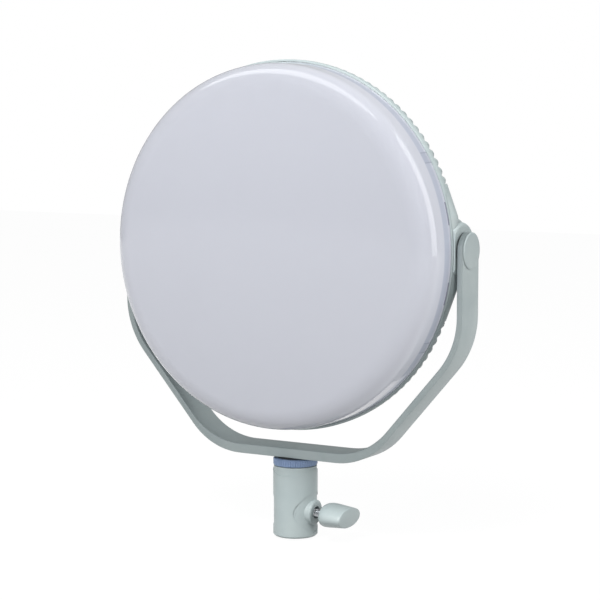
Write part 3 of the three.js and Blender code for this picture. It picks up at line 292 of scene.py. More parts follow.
class Finish:
    """A material with a Principled shader and short ways to add nodes to it."""

    def __init__(self, name, roughness, metallic=0.0, specular=0.5):
        self.material = bpy.data.materials.new(name)
        self.material.use_nodes = True
        self.nodes = self.material.node_tree.nodes
        self.links = self.material.node_tree.links
        self.shader = self.nodes["Principled BSDF"]
        self.shader.inputs["Roughness"].default_value = roughness
        self.shader.inputs["Metallic"].default_value = metallic
        self.shader.inputs["Specular IOR Level"].default_value = specular
        self.coordinates = self.nodes.new("ShaderNodeTexCoord").outputs["Object"]

    def mapped(self, centre=(0, 0, 0), scale=(1, 1, 1)):
        """Coordinates in millimetres about a centre."""
        node = self.nodes.new("ShaderNodeMapping")
        node.inputs["Scale"].default_value = [s / mm for s in scale]
        node.inputs["Location"].default_value = [-c * s / mm for c, s in zip(centre, scale)]
        self.links.new(self.coordinates, node.inputs["Vector"])
        return node.outputs["Vector"]

    def noise(self, scale, detail=2.0, vector=None):
        node = self.nodes.new("ShaderNodeTexNoise")
        node.inputs["Scale"].default_value = scale
        node.inputs["Detail"].default_value = detail
        self.links.new(vector or self.coordinates, node.inputs["Vector"])
        return node.outputs["Fac"]

    def ramp(self, source, stops):
        node = self.nodes.new("ShaderNodeValToRGB")
        elements = node.color_ramp.elements
        while len(elements) < len(stops):
            elements.new(0.5)
        for element, (place, colour) in zip(elements, stops):
            element.position = place
            element.color = colour
        self.links.new(source, node.inputs["Fac"])
        return node.outputs["Color"]

    def math(self, operation, *values, clamp=False):
        node = self.nodes.new("ShaderNodeMath")
        node.operation = operation
        node.use_clamp = clamp
        for socket, value in zip(node.inputs, values):
            if isinstance(value, (int, float)):
                socket.default_value = value
            else:
                self.links.new(value, socket)
        return node.outputs["Value"]

    def mix(self, share, first, second):
        node = self.nodes.new("ShaderNodeMix")
        node.data_type = "RGBA"
        for index, value in ((0, share), (6, first), (7, second)):
            if hasattr(value, "is_linked"):
                self.links.new(value, node.inputs[index])
            else:
                node.inputs[index].default_value = value
        return node.outputs[2]

    def split(self, vector):
        node = self.nodes.new("ShaderNodeSeparateXYZ")
        self.links.new(vector, node.inputs["Vector"])
        return node.outputs

    def colour(self, source):
        self.links.new(source, self.shader.inputs["Base Color"])

    def roughness(self, source, low, high):
        node = self.nodes.new("ShaderNodeMapRange")
        node.inputs["To Min"].default_value = low
        node.inputs["To Max"].default_value = high
        self.links.new(source, node.inputs["Value"])
        self.links.new(node.outputs["Result"], self.shader.inputs["Roughness"])

    def bump(self, source, distance, strength=1.0):
        node = self.nodes.new("ShaderNodeBump")
        node.inputs["Strength"].default_value = strength
        node.inputs["Distance"].default_value = distance * mm
        self.links.new(source, node.inputs["Height"])
        self.links.new(node.outputs["Normal"], self.shader.inputs["Normal"])


def plain_finish(name, low, high, roughness, metallic=0.0, grain=900, depth=0.01, specular=0.5):
    """Cloudy colour between two close shades, with a fine grain."""
    finish = Finish(name, roughness, metallic, specular)
    cloud = finish.noise(40, 3.0)
    finish.colour(finish.ramp(cloud, [(0.3, low), (0.7, high)]))
    fine = finish.noise(grain, 2.0)
    finish.roughness(fine, roughness - 0.06, roughness + 0.06)
    finish.bump(fine, depth)
    return finish.material


# %% [markdown]
# The paint on the yoke, the receiver, the knob and the housing is one pale mint grey, baked on as
# powder. Its skin is satin with a very fine orange-peel texture. A little blue in the darker shade
# keeps it from looking like plain grey primer.

# %% Mint paint
mint_paint = plain_finish("mint_paint", srgb(166, 178, 179), srgb(176, 187, 187), 0.42,
                          grain=1400, depth=0.012)

# %% [markdown]
# The remaining finishes differ only in colour, gloss and metal. Most of them are inside the head or
# on its back: plastics, screws and bolts, the circuit boards and their parts, and the dark window.

# %% Smaller finishes
dark_plastic = plain_finish("dark_plastic", srgb(34, 37, 41), srgb(44, 47, 51), 0.5)
grey_plastic = plain_finish("grey_plastic", srgb(112, 122, 124), srgb(122, 131, 133), 0.5)
white_plastic = plain_finish("white_plastic", srgb(236, 236, 232), srgb(244, 244, 241), 0.55)
steel = plain_finish("steel", srgb(176, 179, 183), srgb(200, 202, 205), 0.28, metallic=1.0)
brass = plain_finish("brass", srgb(186, 154, 84), srgb(200, 168, 98), 0.32, metallic=1.0)
aluminium = plain_finish("aluminium", srgb(176, 180, 184), srgb(190, 194, 197), 0.42, metallic=1.0)
board_green = plain_finish("board_green", srgb(24, 78, 50), srgb(34, 96, 62), 0.45)
board_white = plain_finish("board_white", srgb(226, 228, 225), srgb(238, 240, 236), 0.5)
ferrite = plain_finish("ferrite", srgb(50, 52, 55), srgb(66, 68, 71), 0.8)
window_glass = plain_finish("window_glass", srgb(14, 17, 21), srgb(18, 22, 27), 0.09, depth=0.0)

# %% [markdown]
# The diffuser is a deep pan of glossy opal plastic. Towards the ring its side is painted darker in a
# bluish band, a painted shade, because there is no white reflector behind it there. Right at the ring
# it is pale again. The six snap tabs behind it get faint darker marks through the band, their painted
# shadows, and two short slots beside each pivot, at the very foot, are painted dark as painted shade.
# All of these are drawn from the depth and from the angle about the disc's axis.

# %% Opal plastic
tab_start_angle = 30
tab_spacing = 60
ramp_front = 48
ramp_length = 40
opal_pale = srgb(208, 210, 218)
# The band's colour is painted shade, darker and bluer than the plastic itself.
band_shade = srgb(186, 191, 204)
opal_foot = srgb(202, 204, 214)


def make_opal():
    finish = Finish("opal_plastic", 0.07, specular=0.5)
    finish.shader.inputs["Diffuse Roughness"].default_value = 1.0
    x, y, z = finish.split(finish.mapped(centre=disc))
    depth = finish.math("DIVIDE", finish.math("ADD", y, ramp_front), ramp_length)
    # The bluish band towards the ring is painted shade, where no white reflector lies behind the
    # plastic.
    body = finish.ramp(depth, [
        (0.0, opal_pale),
        (0.60, opal_pale),
        (0.64, band_shade),
        (0.775, band_shade),
        (0.80, opal_foot),
        (1.0, opal_foot),
    ])
    turn = finish.math("MULTIPLY", finish.math("ARCTAN2", z, x), 180 / math.pi)
    turn = finish.math("ADD", turn, 360)
    in_turn = finish.math("FRACT", finish.math("DIVIDE", turn, tab_spacing))
    off_tab = finish.math("ABSOLUTE", finish.math("SUBTRACT", in_turn, 0.5))
    off_tab = finish.math("MULTIPLY", off_tab, tab_spacing)
    # Painted shadows of the six snap tabs, seen through the band: a faint darker patch with a darker
    # edge.
    near_tab = finish.math("LESS_THAN", off_tab, 1.9)
    tab_shadow_edge = finish.math("MULTIPLY", near_tab, finish.math("GREATER_THAN", off_tab, 1.5))
    in_band = finish.math("GREATER_THAN", y, -22.5)
    tab_shadow = finish.math("ADD", finish.math("MULTIPLY", near_tab, 0.25),
                       finish.math("MULTIPLY", tab_shadow_edge, 0.5))
    body = finish.mix(finish.math("MULTIPLY", tab_shadow, in_band), body, srgb(158, 163, 178))
    # Painted shade in two short slots beside each pivot, at the very foot, in a purplish grey.
    height = finish.math("ABSOLUTE", z)
    beside = finish.math("MULTIPLY", finish.math("GREATER_THAN", height, 20.5),
                         finish.math("LESS_THAN", height, 37))
    slot_shade = finish.math("MULTIPLY", beside, finish.math("GREATER_THAN", y, -15.7))
    body = finish.mix(finish.math("MULTIPLY", slot_shade, 0.8), body, srgb(132, 132, 154))
    finish.colour(body)
    fine = finish.noise(1600, 1.0)
    finish.roughness(fine, 0.05, 0.09)
    finish.shader.inputs["Subsurface Weight"].default_value = 0.25
    finish.shader.inputs["Subsurface Radius"].default_value = (0.004, 0.004, 0.004)
    return finish.material


opal = make_opal()

# %% [markdown]
# The blue ring under the bar is anodised aluminium. Its colour sits in the metal, so it is a
# metallic shader with a blue base rather than paint.

# %% Blue anodised aluminium
blue_metal = plain_finish("blue_anodised", srgb(126, 146, 179), srgb(136, 155, 185), 0.45,
                          metallic=0.3)

# %% [markdown]
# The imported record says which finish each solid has. The solids that stay as they are get theirs
# here. A piece that is modelled below takes the finish of the solid that it replaces.

# %% Give the kept solids their finishes
kept_finishes = {
    "mint_paint": mint_paint, "opal": opal, "white_plastic": white_plastic,
    "dark_plastic": dark_plastic, "grey_plastic": grey_plastic, "clear_window": window_glass,
    "blue_anodised": blue_metal, "plate_aluminium": aluminium, "steel": steel, "brass": brass,
    "circuit_green": board_green, "circuit_white": board_white, "ferrite": ferrite,
}
slot_of = {part["node"]: part["material_slot"] for part in frame["record"]["subparts"]}
for node, piece in frame["nodes"].items():
    piece.data.materials.clear()
    piece.data.materials.append(kept_finishes[slot_of[node]])


def finish_piece(piece, body, nodes):
    """Hands a piece over: its finish, its slot, its body and the solids that it stands for."""
    slot = slot_of[nodes[0]]
    piece.data.materials.clear()
    piece.data.materials.append(kept_finishes[slot])
    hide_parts(*nodes)
    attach(piece, body)
    count = sum(len(face.vertices) - 2 for face in piece.data.polygons)
    print(piece.name, "faces", len(piece.data.polygons), "triangles", count)
    return piece


# %% [markdown]
# The diffuser is a thin pan: a flat face, a wide rounded shoulder and a side that widens slightly
# to its foot. Its section is drawn once, outside and inside, and spun about the disc's axis. Six
# snap tabs inside hook behind the ring's ledge.

# %% Front diffuser
lens_face = -47.8
lens_shoulder = 17
lens_radius = 136
lens_wall = 2
foot_radius = 137.2
foot_back = -11.8
ring_front = -14.2
shoulder = (lens_radius - lens_shoulder, lens_face + lens_shoulder)
outside = arc(shoulder, lens_shoulder, -90, 0, 20)
inside = arc(shoulder, lens_shoulder - lens_wall, 0, -90, 12)
diffuser = turned("diffuser_pan", [
    (0, lens_face),
    (60, lens_face),
    *outside,
    (136.4, -25),
    (136.8, -19),
    (foot_radius, ring_front),
    (foot_radius, foot_back),
    (foot_radius - lens_wall, foot_back),
    *inside,
    (0, lens_face + lens_wall),
], disc, "Y", steps=192)
tabs = []
for index in range(6):
    arm = block("tab_arm", (127.4, -19.5, 217.8), (129.4, -7.95, 226.8))
    web = block("tab_web", (127.4, -19.5, 217.8), (136, -16.5, 226.8))
    hook = block("tab_hook", (127.4, -9.2, 217.8), (130.6, -8.0, 226.8))
    tab = join("snap_tab", arm, web, hook)
    turn_about(tab, disc, tab_start_angle + tab_spacing * index)
    tabs.append(tab)
diffuser = join("diffuser_pan", diffuser, *tabs)
smooth(diffuser, 30)
finish_piece(diffuser, "lamp_head", ["front_diffuser"])

# %% [markdown]
# The front ring is a narrow painted hoop round the diffuser's foot. Only its front lip and a thin
# strip of its side show. Its edge is slightly rounded, which gives the bright line round the rim.

# %% Front ring
rim_radius = 138.8
ring_hole = 130.1
ring_seat = (137.3, -11.5)
ring_back = -9.5
ring = turned("rim_ring", [
    (ring_hole, ring_seat[1]),
    ring_seat,
    (ring_seat[0], ring_front),
    (rim_radius - 0.4, ring_front),
    (rim_radius - 0.1, ring_front + 0.15),
    (rim_radius, ring_front + 0.45),
    (rim_radius, ring_back),
    (ring_hole, ring_back),
], disc, "Y", steps=192, ring=True)
smooth(ring, 30)
finish_piece(ring, "lamp_head", ["front_ring"])

# %% [markdown]
# The rear housing is a die-cast shell that also cools the lamp. Round ribs, three degrees apart,
# start at the rim, run over the shoulder and die out on the sloping back. One rib is a rounded bar
# swept with the spin tool, then copied round the rim, except beside the pivots, where the wall is
# plain and a round hub meets each arm.

# %% Housing shell
rib_height = 2.3
shoulder_radius = 14.1
shoulder_sweep = 80
housing_front = -9.2
shell_wall = 2.6
bend = (rim_radius - shoulder_radius, housing_front)
slope = math.tan(math.radians(90 - shoulder_sweep))
valley = arc(bend, shoulder_radius - rib_height, 0, shoulder_sweep, 12)
slope_radius, slope_depth = valley[-1]


def back_depth(radius):
    return slope_depth + (slope_radius - radius) * slope


shell = turned("housing_shell", [
    *valley,
    (78, back_depth(78)),
    (75.2, back_depth(75) + 0.9),
    (74.2, back_depth(74) + 2.6),
    (74, back_depth(74) + 4),
    (74, 19.6),
    (73.6, 20.9),
    (72.7, 21.7),
    (71.4, 22),
    (62.3, 22),
    (62.3, 19.3),
    (56, 19.3),
    (56, 16.3),
    (69, 16.3),
    (69, back_depth(69) - shell_wall),
    (slope_radius, slope_depth - shell_wall),
    (131.5, housing_front + shell_wall),
    (131.5, housing_front),
], disc, "Y", steps=180, ring=True)

# %% [markdown]
# Beside each pivot the wall is plain. It is a flat by the hub, and a flat on from the last ribs,
# and it lies just outside the front ring, so that ring and wall look like one face. The shell's
# section is extruded round the disc degree by degree, and pushed out or in at each step. A turned
# envelope then slopes its front edge down to the ring.

# %% Plain walls beside the pivots
wall_end = 21
wall_front = -13.8
wall_foot = 133


def wall_reach(degrees):
    """Distance from the disc's axis to the wall, a flat by the hub and a flat on from the ribs."""
    flat = min(abs(degrees), wall_end - abs(degrees))
    return rim_radius / math.cos(math.radians(flat))


def clear_ring(piece):
    """Cuts away what would run into the front ring."""
    cut(piece, rod("ring_room", rim_radius + 0.2, -60, housing_front, disc, "Y", steps=192))
    return clean(piece)


def plain_wall(side):
    section = [
        (rim_radius, wall_front),
        *arc(bend, shoulder_radius, 0, shoulder_sweep, 14),
        (80, back_depth(80) - 0.4),
        (80, back_depth(80) - 1.6),
        (125, back_depth(125) - 2),
        (wall_foot, housing_front),
        (wall_foot, wall_front),
    ]
    line = [disc / mm + Vector((radius, depth, 0)) for radius, depth in section]
    piece = draw_line("plain_wall", line, closed=True)
    base = 0 if side > 0 else 180
    turn_about(piece, disc, base - wall_end)
    edit(piece)
    for step in range(-wall_end, wall_end):
        bpy.ops.mesh.extrude_region_move(TRANSFORM_OT_translate={"value": (0, 0, 0)})
        bpy.ops.transform.rotate(value=math.radians(1), orient_axis="Y", orient_type="GLOBAL",
                                 center_override=disc)
        turn = math.radians(base + step + 1)
        push = (wall_reach(step + 1) - wall_reach(step)) * mm
        bpy.ops.transform.translate(value=(push * math.cos(turn), 0, push * math.sin(turn)))
    leave_edit()
    clear_ring(clean(piece))
    cut(piece, turned("wall_envelope", [
        (0, wall_front), (rim_radius + 0.3, wall_front), (141.7, -6), (141.7, 60), (0, 60),
    ], disc, "Y", steps=192), operation="INTERSECT")
    return clean(piece)


walls = [plain_wall(1), plain_wall(-1)]
print("plain walls", [len(wall.data.polygons) for wall in walls])

# %% [markdown]
# One rib is a round bar. A circle at the rim is spun over the shoulder, then extruded down the
# slope in four lengths that shrink and sink, so that the rib dies out. Copies of it stand round the
# rim, all but those that would meet the plain walls.

# %% Cooling ribs
rib_radius = 3.45
rib_sides = 14
rib_spacing = 3
rib_lengths = ((15, 0.86), (15, 0.8), (12, 0.7), (7, 0.5))
rib_sink = 0.5


def first_rib():
    clear_selection()
    centre = (disc / mm) + Vector((rim_radius - rib_radius, bend[1], 0))
    bpy.ops.mesh.primitive_circle_add(vertices=rib_sides, radius=rib_radius * mm, fill_type="NGON",
                                      location=centre * mm, rotation=(math.pi / 2, 0, 0))
    rib = settle(bpy.context.object)
    edit(rib)
    hinge = disc + Vector((*bend, 0)) * mm
    bpy.ops.mesh.spin(steps=9, angle=math.radians(-shoulder_sweep), center=hinge, axis=(0, 0, 1))
    run = Vector((-1, slope, 0)) * mm
    for length, size in rib_lengths:
        bpy.ops.mesh.extrude_region_move(TRANSFORM_OT_translate={"value": run * length})
        bpy.ops.transform.resize(value=(size, size, size))
        bpy.ops.transform.translate(value=(0, -rib_sink * mm, 0))
    leave_edit()
    return clean(rib)


pattern = first_rib()
ribs = []
for index in range(360 // rib_spacing):
    angle = (index + 0.5) * rib_spacing
    if min(angle % 180, 180 - angle % 180) < wall_end:
        continue
    pick(pattern)
    bpy.ops.object.duplicate()
    ribs.append(turn_about(bpy.context.object, disc, angle))
bpy.data.objects.remove(pattern, do_unlink=True)
ribs = join("cooling_ribs", *ribs)
print("ribs", len(ribs.data.polygons))

# %% [markdown]
# A hub is a short drum about the tilt axis with a soft outer edge and a flared foot. Its front is
# cut flat in line with the plain walls and makes room for the front ring, and it is bored for the
# brass insert that the pivot bolt screws into.

# %% Pivot hubs
def hub(side):
    points = [(0, 126.7), (23.2, 126.7), *arc((23.7, 136), 3.2, 260, 180, 8),
              *arc((17.5, 137.2), 3, 0, 90, 6), (0, 140.2)]
    drum = turned("hub", [(radius, side * reach) for radius, reach in points], pivot, "X", steps=96)
    cut(drum, block("front_cut", (-160, -60, 180), (160, wall_front, 270)))
    cut(drum, pivot_rod("bore", 6.8, 128, 145, side))
    return clear_ring(drum)


hubs = [hub(1), hub(-1)]
shell = join("housing_shell", shell, *walls, ribs, *hubs)
smooth(shell, 40)
finish_piece(shell, "lamp_head", ["rear_housing"])

# %% [markdown]
# The yoke is one flat bar, bent up at both sides, thinner in the arms than at the bottom. Its front
# outline is drawn once round, filled and extruded to the bar's depth.

# %% Yoke
bar_bottom = 61.5
bar_top = 68.9
bar_half = 13.5
arm_outer = 146.1
arm_inner = 141.4


def bent(corner, radius, before, after, steps=14):
    """Points of a rounded corner between two directions, given from the corner."""
    before, after = before.normalized(), after.normalized()
    half = before.angle(after) / 2
    start = corner + before * radius / math.tan(half)
    centre = corner + (before + after).normalized() * radius / math.sin(half)
    spoke = start - centre
    sweep = math.pi - 2 * half
    turn_sign = 1 if before.cross(after).y > 0 else -1
    points = []
    for step in range(steps + 1):
        turn = Matrix.Rotation(-turn_sign * sweep * step / steps, 3, "Y")
        points.append(centre + turn @ spoke)
    return points


def yoke_side(bottom, corner_x, reach, elbow, lower, upper):
    corner = Vector((corner_x, 0, bottom))
    bend_point = Vector((reach, 0, elbow))
    along = bend_point - corner
    return [
        Vector((0, 0, bottom)),
        *bent(corner, lower, Vector((-1, 0, 0)), along),
        *bent(bend_point, upper, -along, Vector((0, 0, 1))),
        Vector((reach, 0, pivot_height + bar_half)),
    ]


outer_side = yoke_side(bar_bottom, 67.7, arm_outer, 152.4, 56, 65)
inner_side = yoke_side(bar_top, 67.9, arm_inner, 154.2, 56, 60)
front = Vector((0, -bar_half, 0))


def both_sides(line):
    """A right half outline with its mirror image in front of it."""
    return [Vector((-point.x, 0, point.z)) for point in line[:0:-1]] + line


yoke_line = [point + front for point in both_sides(outer_side) + both_sides(inner_side)[::-1]]
yoke = extruded("yoke_bar", yoke_line, (0, 2 * bar_half, 0))
print("yoke outline", len(yoke_line), "points")

# %% [markdown]
# A boolean rounds the arms' ends about the pivots, a bevel softens every long edge, and the bolts
# get their counterbores. The bar's top is plain to see, so the pan bolt's head lies under a thin
# skin, and the bolt is turned again with a head low enough for it.

# %% Yoke ends, holes and pan bolt
round_end = [Vector((-160, bar_half * math.cos(a), pivot_height + bar_half * math.sin(a)))
             for a in [math.pi * i / 48 for i in range(49)]]
above_end = ((-20, pivot_height), (-20, 250), (20, 250), (20, pivot_height))
round_end += [Vector((-160, *corner)) for corner in above_end]
cut(yoke, extruded("arm_corners", round_end, (320, 0, 0)))
round_edges(yoke, 1, segments=3, angle=50)
for side in (1, -1):
    cut(yoke, pivot_rod("counterbore", 10.5, 143.2, 150, side))
    cut(yoke, pivot_rod("pivot_hole", 4.6, 135, 150, side))
cut(yoke, rod("pan_hole", 5.8, 50, 66, origin, "Z"))
cut(yoke, rod("pan_head_room", 7.3, 64.3, 68.0, origin, "Z"))
clean(yoke)
smooth(yoke, 40)
finish_piece(yoke, "bracket", ["yoke"])

bolt = turned("pan_bolt_shape", [
    (0, 44.7), (3.6, 44.7), (4, 45.1), (4, 65.7), (6.9, 65.7), (6.9, 67.5), (6.5, 67.8), (0, 67.8),
], origin, "Z", steps=64)
smooth(bolt, 30)
finish_piece(bolt, "stand_end", ["pan_bolt"])

# %% [markdown]
# Each arm ends in a round cap over the pivot bolt. It is a thin painted disc with a soft rim, and
# a skirt that seats it in the arm's counterbore.

# %% Pivot caps
for side, name in ((1, "right"), (-1, "left")):
    section = [
        (0, 147.15), (11.8, 147.15), (12.6, 147.05), (13.2, 146.8), (13.5, 146.55), (13.5, 146.4),
        (10.2, 146.4), (10.2, 144.4), (8.8, 144.4), (8.8, 146.4), (0, 146.4),
    ]
    cap = turned("cap_" + name, [(radius, side * reach) for radius, reach in section], pivot, "X",
                 steps=96)
    smooth(cap, 30)
    finish_piece(cap, "bracket", ["pivot_cap_" + name])

# %% [markdown]
# The receiver slides over a stand's stud. Its body is a turned cylinder with a round scoop milled
# into each side about the clamp screw, a relief line near its top, and a cast boss for the screw.
# Booleans with plain round cutters give the same crossing lines as the real cutters leave.

# %% Receiver
clamp_centre = Vector((0, 0, 19.8)) * mm
droop_angle = 2.5
receiver_radius = 17
receiver_top = 54.2
relief_depth = 0.5
neck_radius = 33
neck_low = 47.7


def drooped(piece):
    """Tips a piece of the clamp a little down, as the screw's axis is."""
    return turn_about(piece, clamp_centre, -droop_angle)


receiver = turned("receiver_body", [
    (0, 0),
    (receiver_radius - 1.3, 0),
    (receiver_radius, 1.3),
    (receiver_radius, receiver_top - 0.7),
    (receiver_radius - 0.2, receiver_top - 0.3),
    (receiver_radius - 0.7, receiver_top),
    (0, receiver_top),
], origin, "Z", steps=160)
scoop = drooped(rod("scoop", 15.5, -25, 25, clamp_centre, "X", steps=128))
neck_centre = Vector((0, 0, neck_low + neck_radius)) * mm
neck = rod("neck_relief", neck_radius, -25, 25, neck_centre, "Y", steps=192)
for relief in (scoop, neck):
    cut(relief, rod("core", receiver_radius - relief_depth, -10, 120, origin, "Z", steps=160))
    cut(receiver, relief)
boss_foot = 14.5
boss_neck = 9.6
flare = [(boss_foot - (boss_foot - boss_neck) * math.sin(a), 8.5 + 7.7 * (1 - math.cos(a)))
         for a in [math.pi / 2 * i / 12 for i in range(1, 13)]]
boss = drooped(turned("clamp_boss", [
    (0, 0),
    (boss_foot, 0),
    (boss_foot, 8.5),
    *flare,
    (boss_neck, 17),
    *arc((8.1, 17), 1.5, 0, 90, 6)[1:],
    (0, 18.5),
], clamp_centre, "X", steps=96))
cut(receiver, boss, operation="UNION")
cut(receiver, rod("spigot", 10, 45, 59.8, origin, "Z", steps=96), operation="UNION")
cut(receiver, rod("stud_bore", 8.1, -5, 38, origin, "Z", steps=96))
cut(receiver, rod("bolt_bore", 4.3, 30, 65, origin, "Z"))
cut(receiver, drooped(rod("clamp_mouth", 4.8, 14.5, 25, clamp_centre, "X", steps=64)))
cut(receiver, drooped(rod("clamp_thread", 3.3, 2, 25, clamp_centre, "X", steps=64)))
clean(receiver, 0.000005)
smooth(receiver, 35)
finish_piece(receiver, "stand_end", ["receiver"])

# %% [markdown]
# The clamp knob is an oval grip, wide across and slimmer in height, that swells from its neck and
# tapers a little to a flat end. It is modelled from one circle that is extruded from station to
# station along the screw and resized each time.

# %% Clamp knob
knob_start = 25
stations = [0, 0.35, 1.0, 2.1, 3.6, 5.6, 8.4, 12, 16.5, 20.5, 21.8, 22.2, 22.4]
widths = [5.0, 7.4, 10.0, 12.4, 14.5, 16.1, 16.85, 16.9, 16.85, 16.8, 16.7, 16.4, 15.9]
heights = [4.2, 5.6, 6.9, 7.9, 8.6, 8.9, 8.7, 8.35, 7.9, 7.5, 7.35, 7.1, 6.6]


def knob():
    clear_selection()
    start = clamp_centre + Vector((knob_start, 0, 0)) * mm
    bpy.ops.mesh.primitive_circle_add(vertices=72, radius=1 * mm, fill_type="NGON",
                                      location=start, rotation=(0, math.pi / 2, 0))
    piece = settle(bpy.context.object)
    piece.name = "knob_grip"
    edit(piece)
    last_wide, last_high, last_station = 1.0, 1.0, 0.0
    for station, wide, high in zip(stations, widths, heights):
        if station > 0:
            bpy.ops.mesh.extrude_region_move(
                TRANSFORM_OT_translate={"value": ((station - last_station) * mm, 0, 0)})
        bpy.ops.transform.resize(value=(1, wide / last_wide, high / last_high),
                                 center_override=clamp_centre)
        last_wide, last_high, last_station = wide, high, station
    leave_edit()
    clean(piece)
    cut(piece, rod("knob_bore", 3.3, 20, 36, clamp_centre, "X"))
    drooped(piece)
    return smooth(piece, 35)


finish_piece(knob(), "clamp_handle", ["clamp_knob"])

# %% [markdown]
# The clamp screw shows as a short bright length between the boss and the knob. Its thread is a
# stack of shallow grooves, drawn as a saw-toothed line and spun with the rest.

# %% Clamp screw
thread_pitch = 1.25
thread_root = 2.6
thread_crest = 3.0
screw_tip = 10.6
screw_head = 35.7
screw_line = [(0, screw_tip)]
groove = screw_tip
while groove < screw_head - 0.2 - thread_pitch:
    screw_line += [
        (thread_root, groove),
        (thread_crest, groove + thread_pitch * 0.45),
        (thread_crest, groove + thread_pitch * 0.6),
    ]
    groove += thread_pitch
screw_line += [(thread_root, screw_head), (0, screw_head)]
clamp_screw = drooped(turned("screw_thread", screw_line, clamp_centre, "X", steps=48))
smooth(clamp_screw, 30)
finish_piece(clamp_screw, "clamp_handle", ["clamp_screw"])

# %% [markdown]
# The lock ring's knurls give the fingers a grip. The outline is drawn with its teeth, filled and
# extruded, and what lies outside a turned envelope with chamfered rims is cut away.

# %% Lock ring
knurl_count = 56
knurl_crest = 16.9
knurl_root = 16.4
lock_ring_foot = 54.7
lock_ring_top = 60.3


def knurled_ring():
    tooth = ((0.0, knurl_root), (0.2, knurl_crest), (0.6, knurl_crest), (0.8, knurl_root))
    outline = []
    for index in range(knurl_count):
        for share, radius in tooth:
            angle = 2 * math.pi * (index + share) / knurl_count
            outline.append((radius * math.cos(angle), radius * math.sin(angle), lock_ring_foot))
    piece = extruded("knurled_ring", outline, (0, 0, lock_ring_top - lock_ring_foot))
    envelope = turned("ring_envelope", [
        (0, lock_ring_foot),
        (knurl_crest - 0.7, lock_ring_foot),
        (knurl_crest, lock_ring_foot + 0.7),
        (knurl_crest, lock_ring_top - 0.7),
        (knurl_crest - 0.7, lock_ring_top),
        (0, lock_ring_top),
    ], origin, "Z", steps=96)
    cut(piece, envelope, operation="INTERSECT")
    cut(piece, rod("ring_bore", 10.3, 50, 65, origin, "Z", steps=96))
    clean(piece)
    return smooth(piece, 20)


finish_piece(knurled_ring(), "pan_lock", ["lock_ring"])

# %% [markdown]
# The back is seen when the light is turned round. The control panel is a disc with a softly rounded
# edge, cut through for its controls and seated for its window and its screws.

# %% Control panel
panel_radius = 62
panel_back = 19.6
panel_face = 22
dial_across = 35.84
dial_up = 3.92
button_across = 14
button_up = -2.24
inlet_up = -35.84
screw_circle = 59


def on_panel(across, up):
    """A place on the panel, in millimetres from its centre."""
    return disc + Vector((across, 0, up)) * mm


panel = turned("panel_disc", [
    (0, panel_back),
    (panel_radius, panel_back),
    (panel_radius, panel_face - 0.5),
    (panel_radius - 0.1, panel_face - 0.25),
    (panel_radius - 0.25, panel_face - 0.1),
    (panel_radius - 0.5, panel_face),
    (0, panel_face),
], disc, "Y", steps=160)
cut(panel, block("window_seat", (-20.3, 20.3, 235.08), (20.3, 25, 257.68)))
cut(panel, block("window_hole", (-17.6, 15, 237.78), (17.6, 25, 254.98)))
cut(panel, block("rocker_hole", (-28.58, 15, 182.9), (-19.58, 25, 197.3)))
for across in (dial_across, -dial_across):
    cut(panel, rod("dial_hole", 3.3, 15, 25, on_panel(across, dial_up), "Y"))
for across in (-button_across, 0, button_across):
    cut(panel, rod("button_hole", 4.1, 15, 25, on_panel(across, button_up), "Y"))
cut(panel, rod("inlet_hole", 5.9, 15, 25, on_panel(0, inlet_up), "Y"))
slot_end = 1.95
slot_outline = [(21.84 + side * (2.85 + slot_end * math.sin(a)), 15,
                 203.26 + side * slot_end * math.cos(a))
                for side in (1, -1) for a in [math.pi * i / 12 for i in range(13)]]
cut(panel, extruded("socket_hole", slot_outline, (0, 10, 0)))
for index in range(4):
    angle = math.radians(45 + 90 * index)
    place = on_panel(screw_circle * math.cos(angle), screw_circle * math.sin(angle))
    cut(panel, rod("screw_hole", 1.5, 15, 25, place, "Y", steps=24))
    cut(panel, rod("screw_seat", 2.6, 20.4, 25, place, "Y", steps=32))
clean(panel, 0.000005)
smooth(panel, 30)
finish_piece(panel, "lamp_head", ["control_panel"])


# %% [markdown]
# A dial is a fluted drum on a shaft. Its outline dips fourteen times, and a turned envelope gives
# it a soft rim. The buttons are small turned plugs, and the inlet is a socket with a centre pin.

# %% Dials, buttons and inlet
flute_count = 14
flute_points = 10
flute_depth = 0.6
dial_radius = 9.5


def dial(name, across):
    centre = on_panel(across, dial_up)
    outline = []
    for index in range(flute_count * flute_points):
        angle = 2 * math.pi * index / (flute_count * flute_points)
        radius = dial_radius - flute_depth * (0.5 - 0.5 * math.cos(flute_count * angle)) ** 2
        outline.append((across + radius * math.cos(angle), 22.4,
                        disc_height + dial_up + radius * math.sin(angle)))
    grip = extruded("fluted_grip_" + name, outline, (0, 11, 0))
    cut(grip, turned("grip_envelope", [
        (0, 22.3), (9.6, 22.3), (9.6, 32.3), (9.3, 32.9), (8.8, 33.25), (8.2, 33.4), (7.6, 33.4),
        (7.2, 33.2), (0, 33.1),
    ], centre, "Y", steps=96), operation="INTERSECT")
    cut(grip, rod("shaft", 3, 18.3, 22.8, centre, "Y", steps=48), operation="UNION")
    clean(grip, 0.000005)
    return smooth(grip, 30)


for name, across in (("left", -dial_across), ("right", dial_across)):
    finish_piece(dial(name, across), name + "_dial", ["dial_" + name])

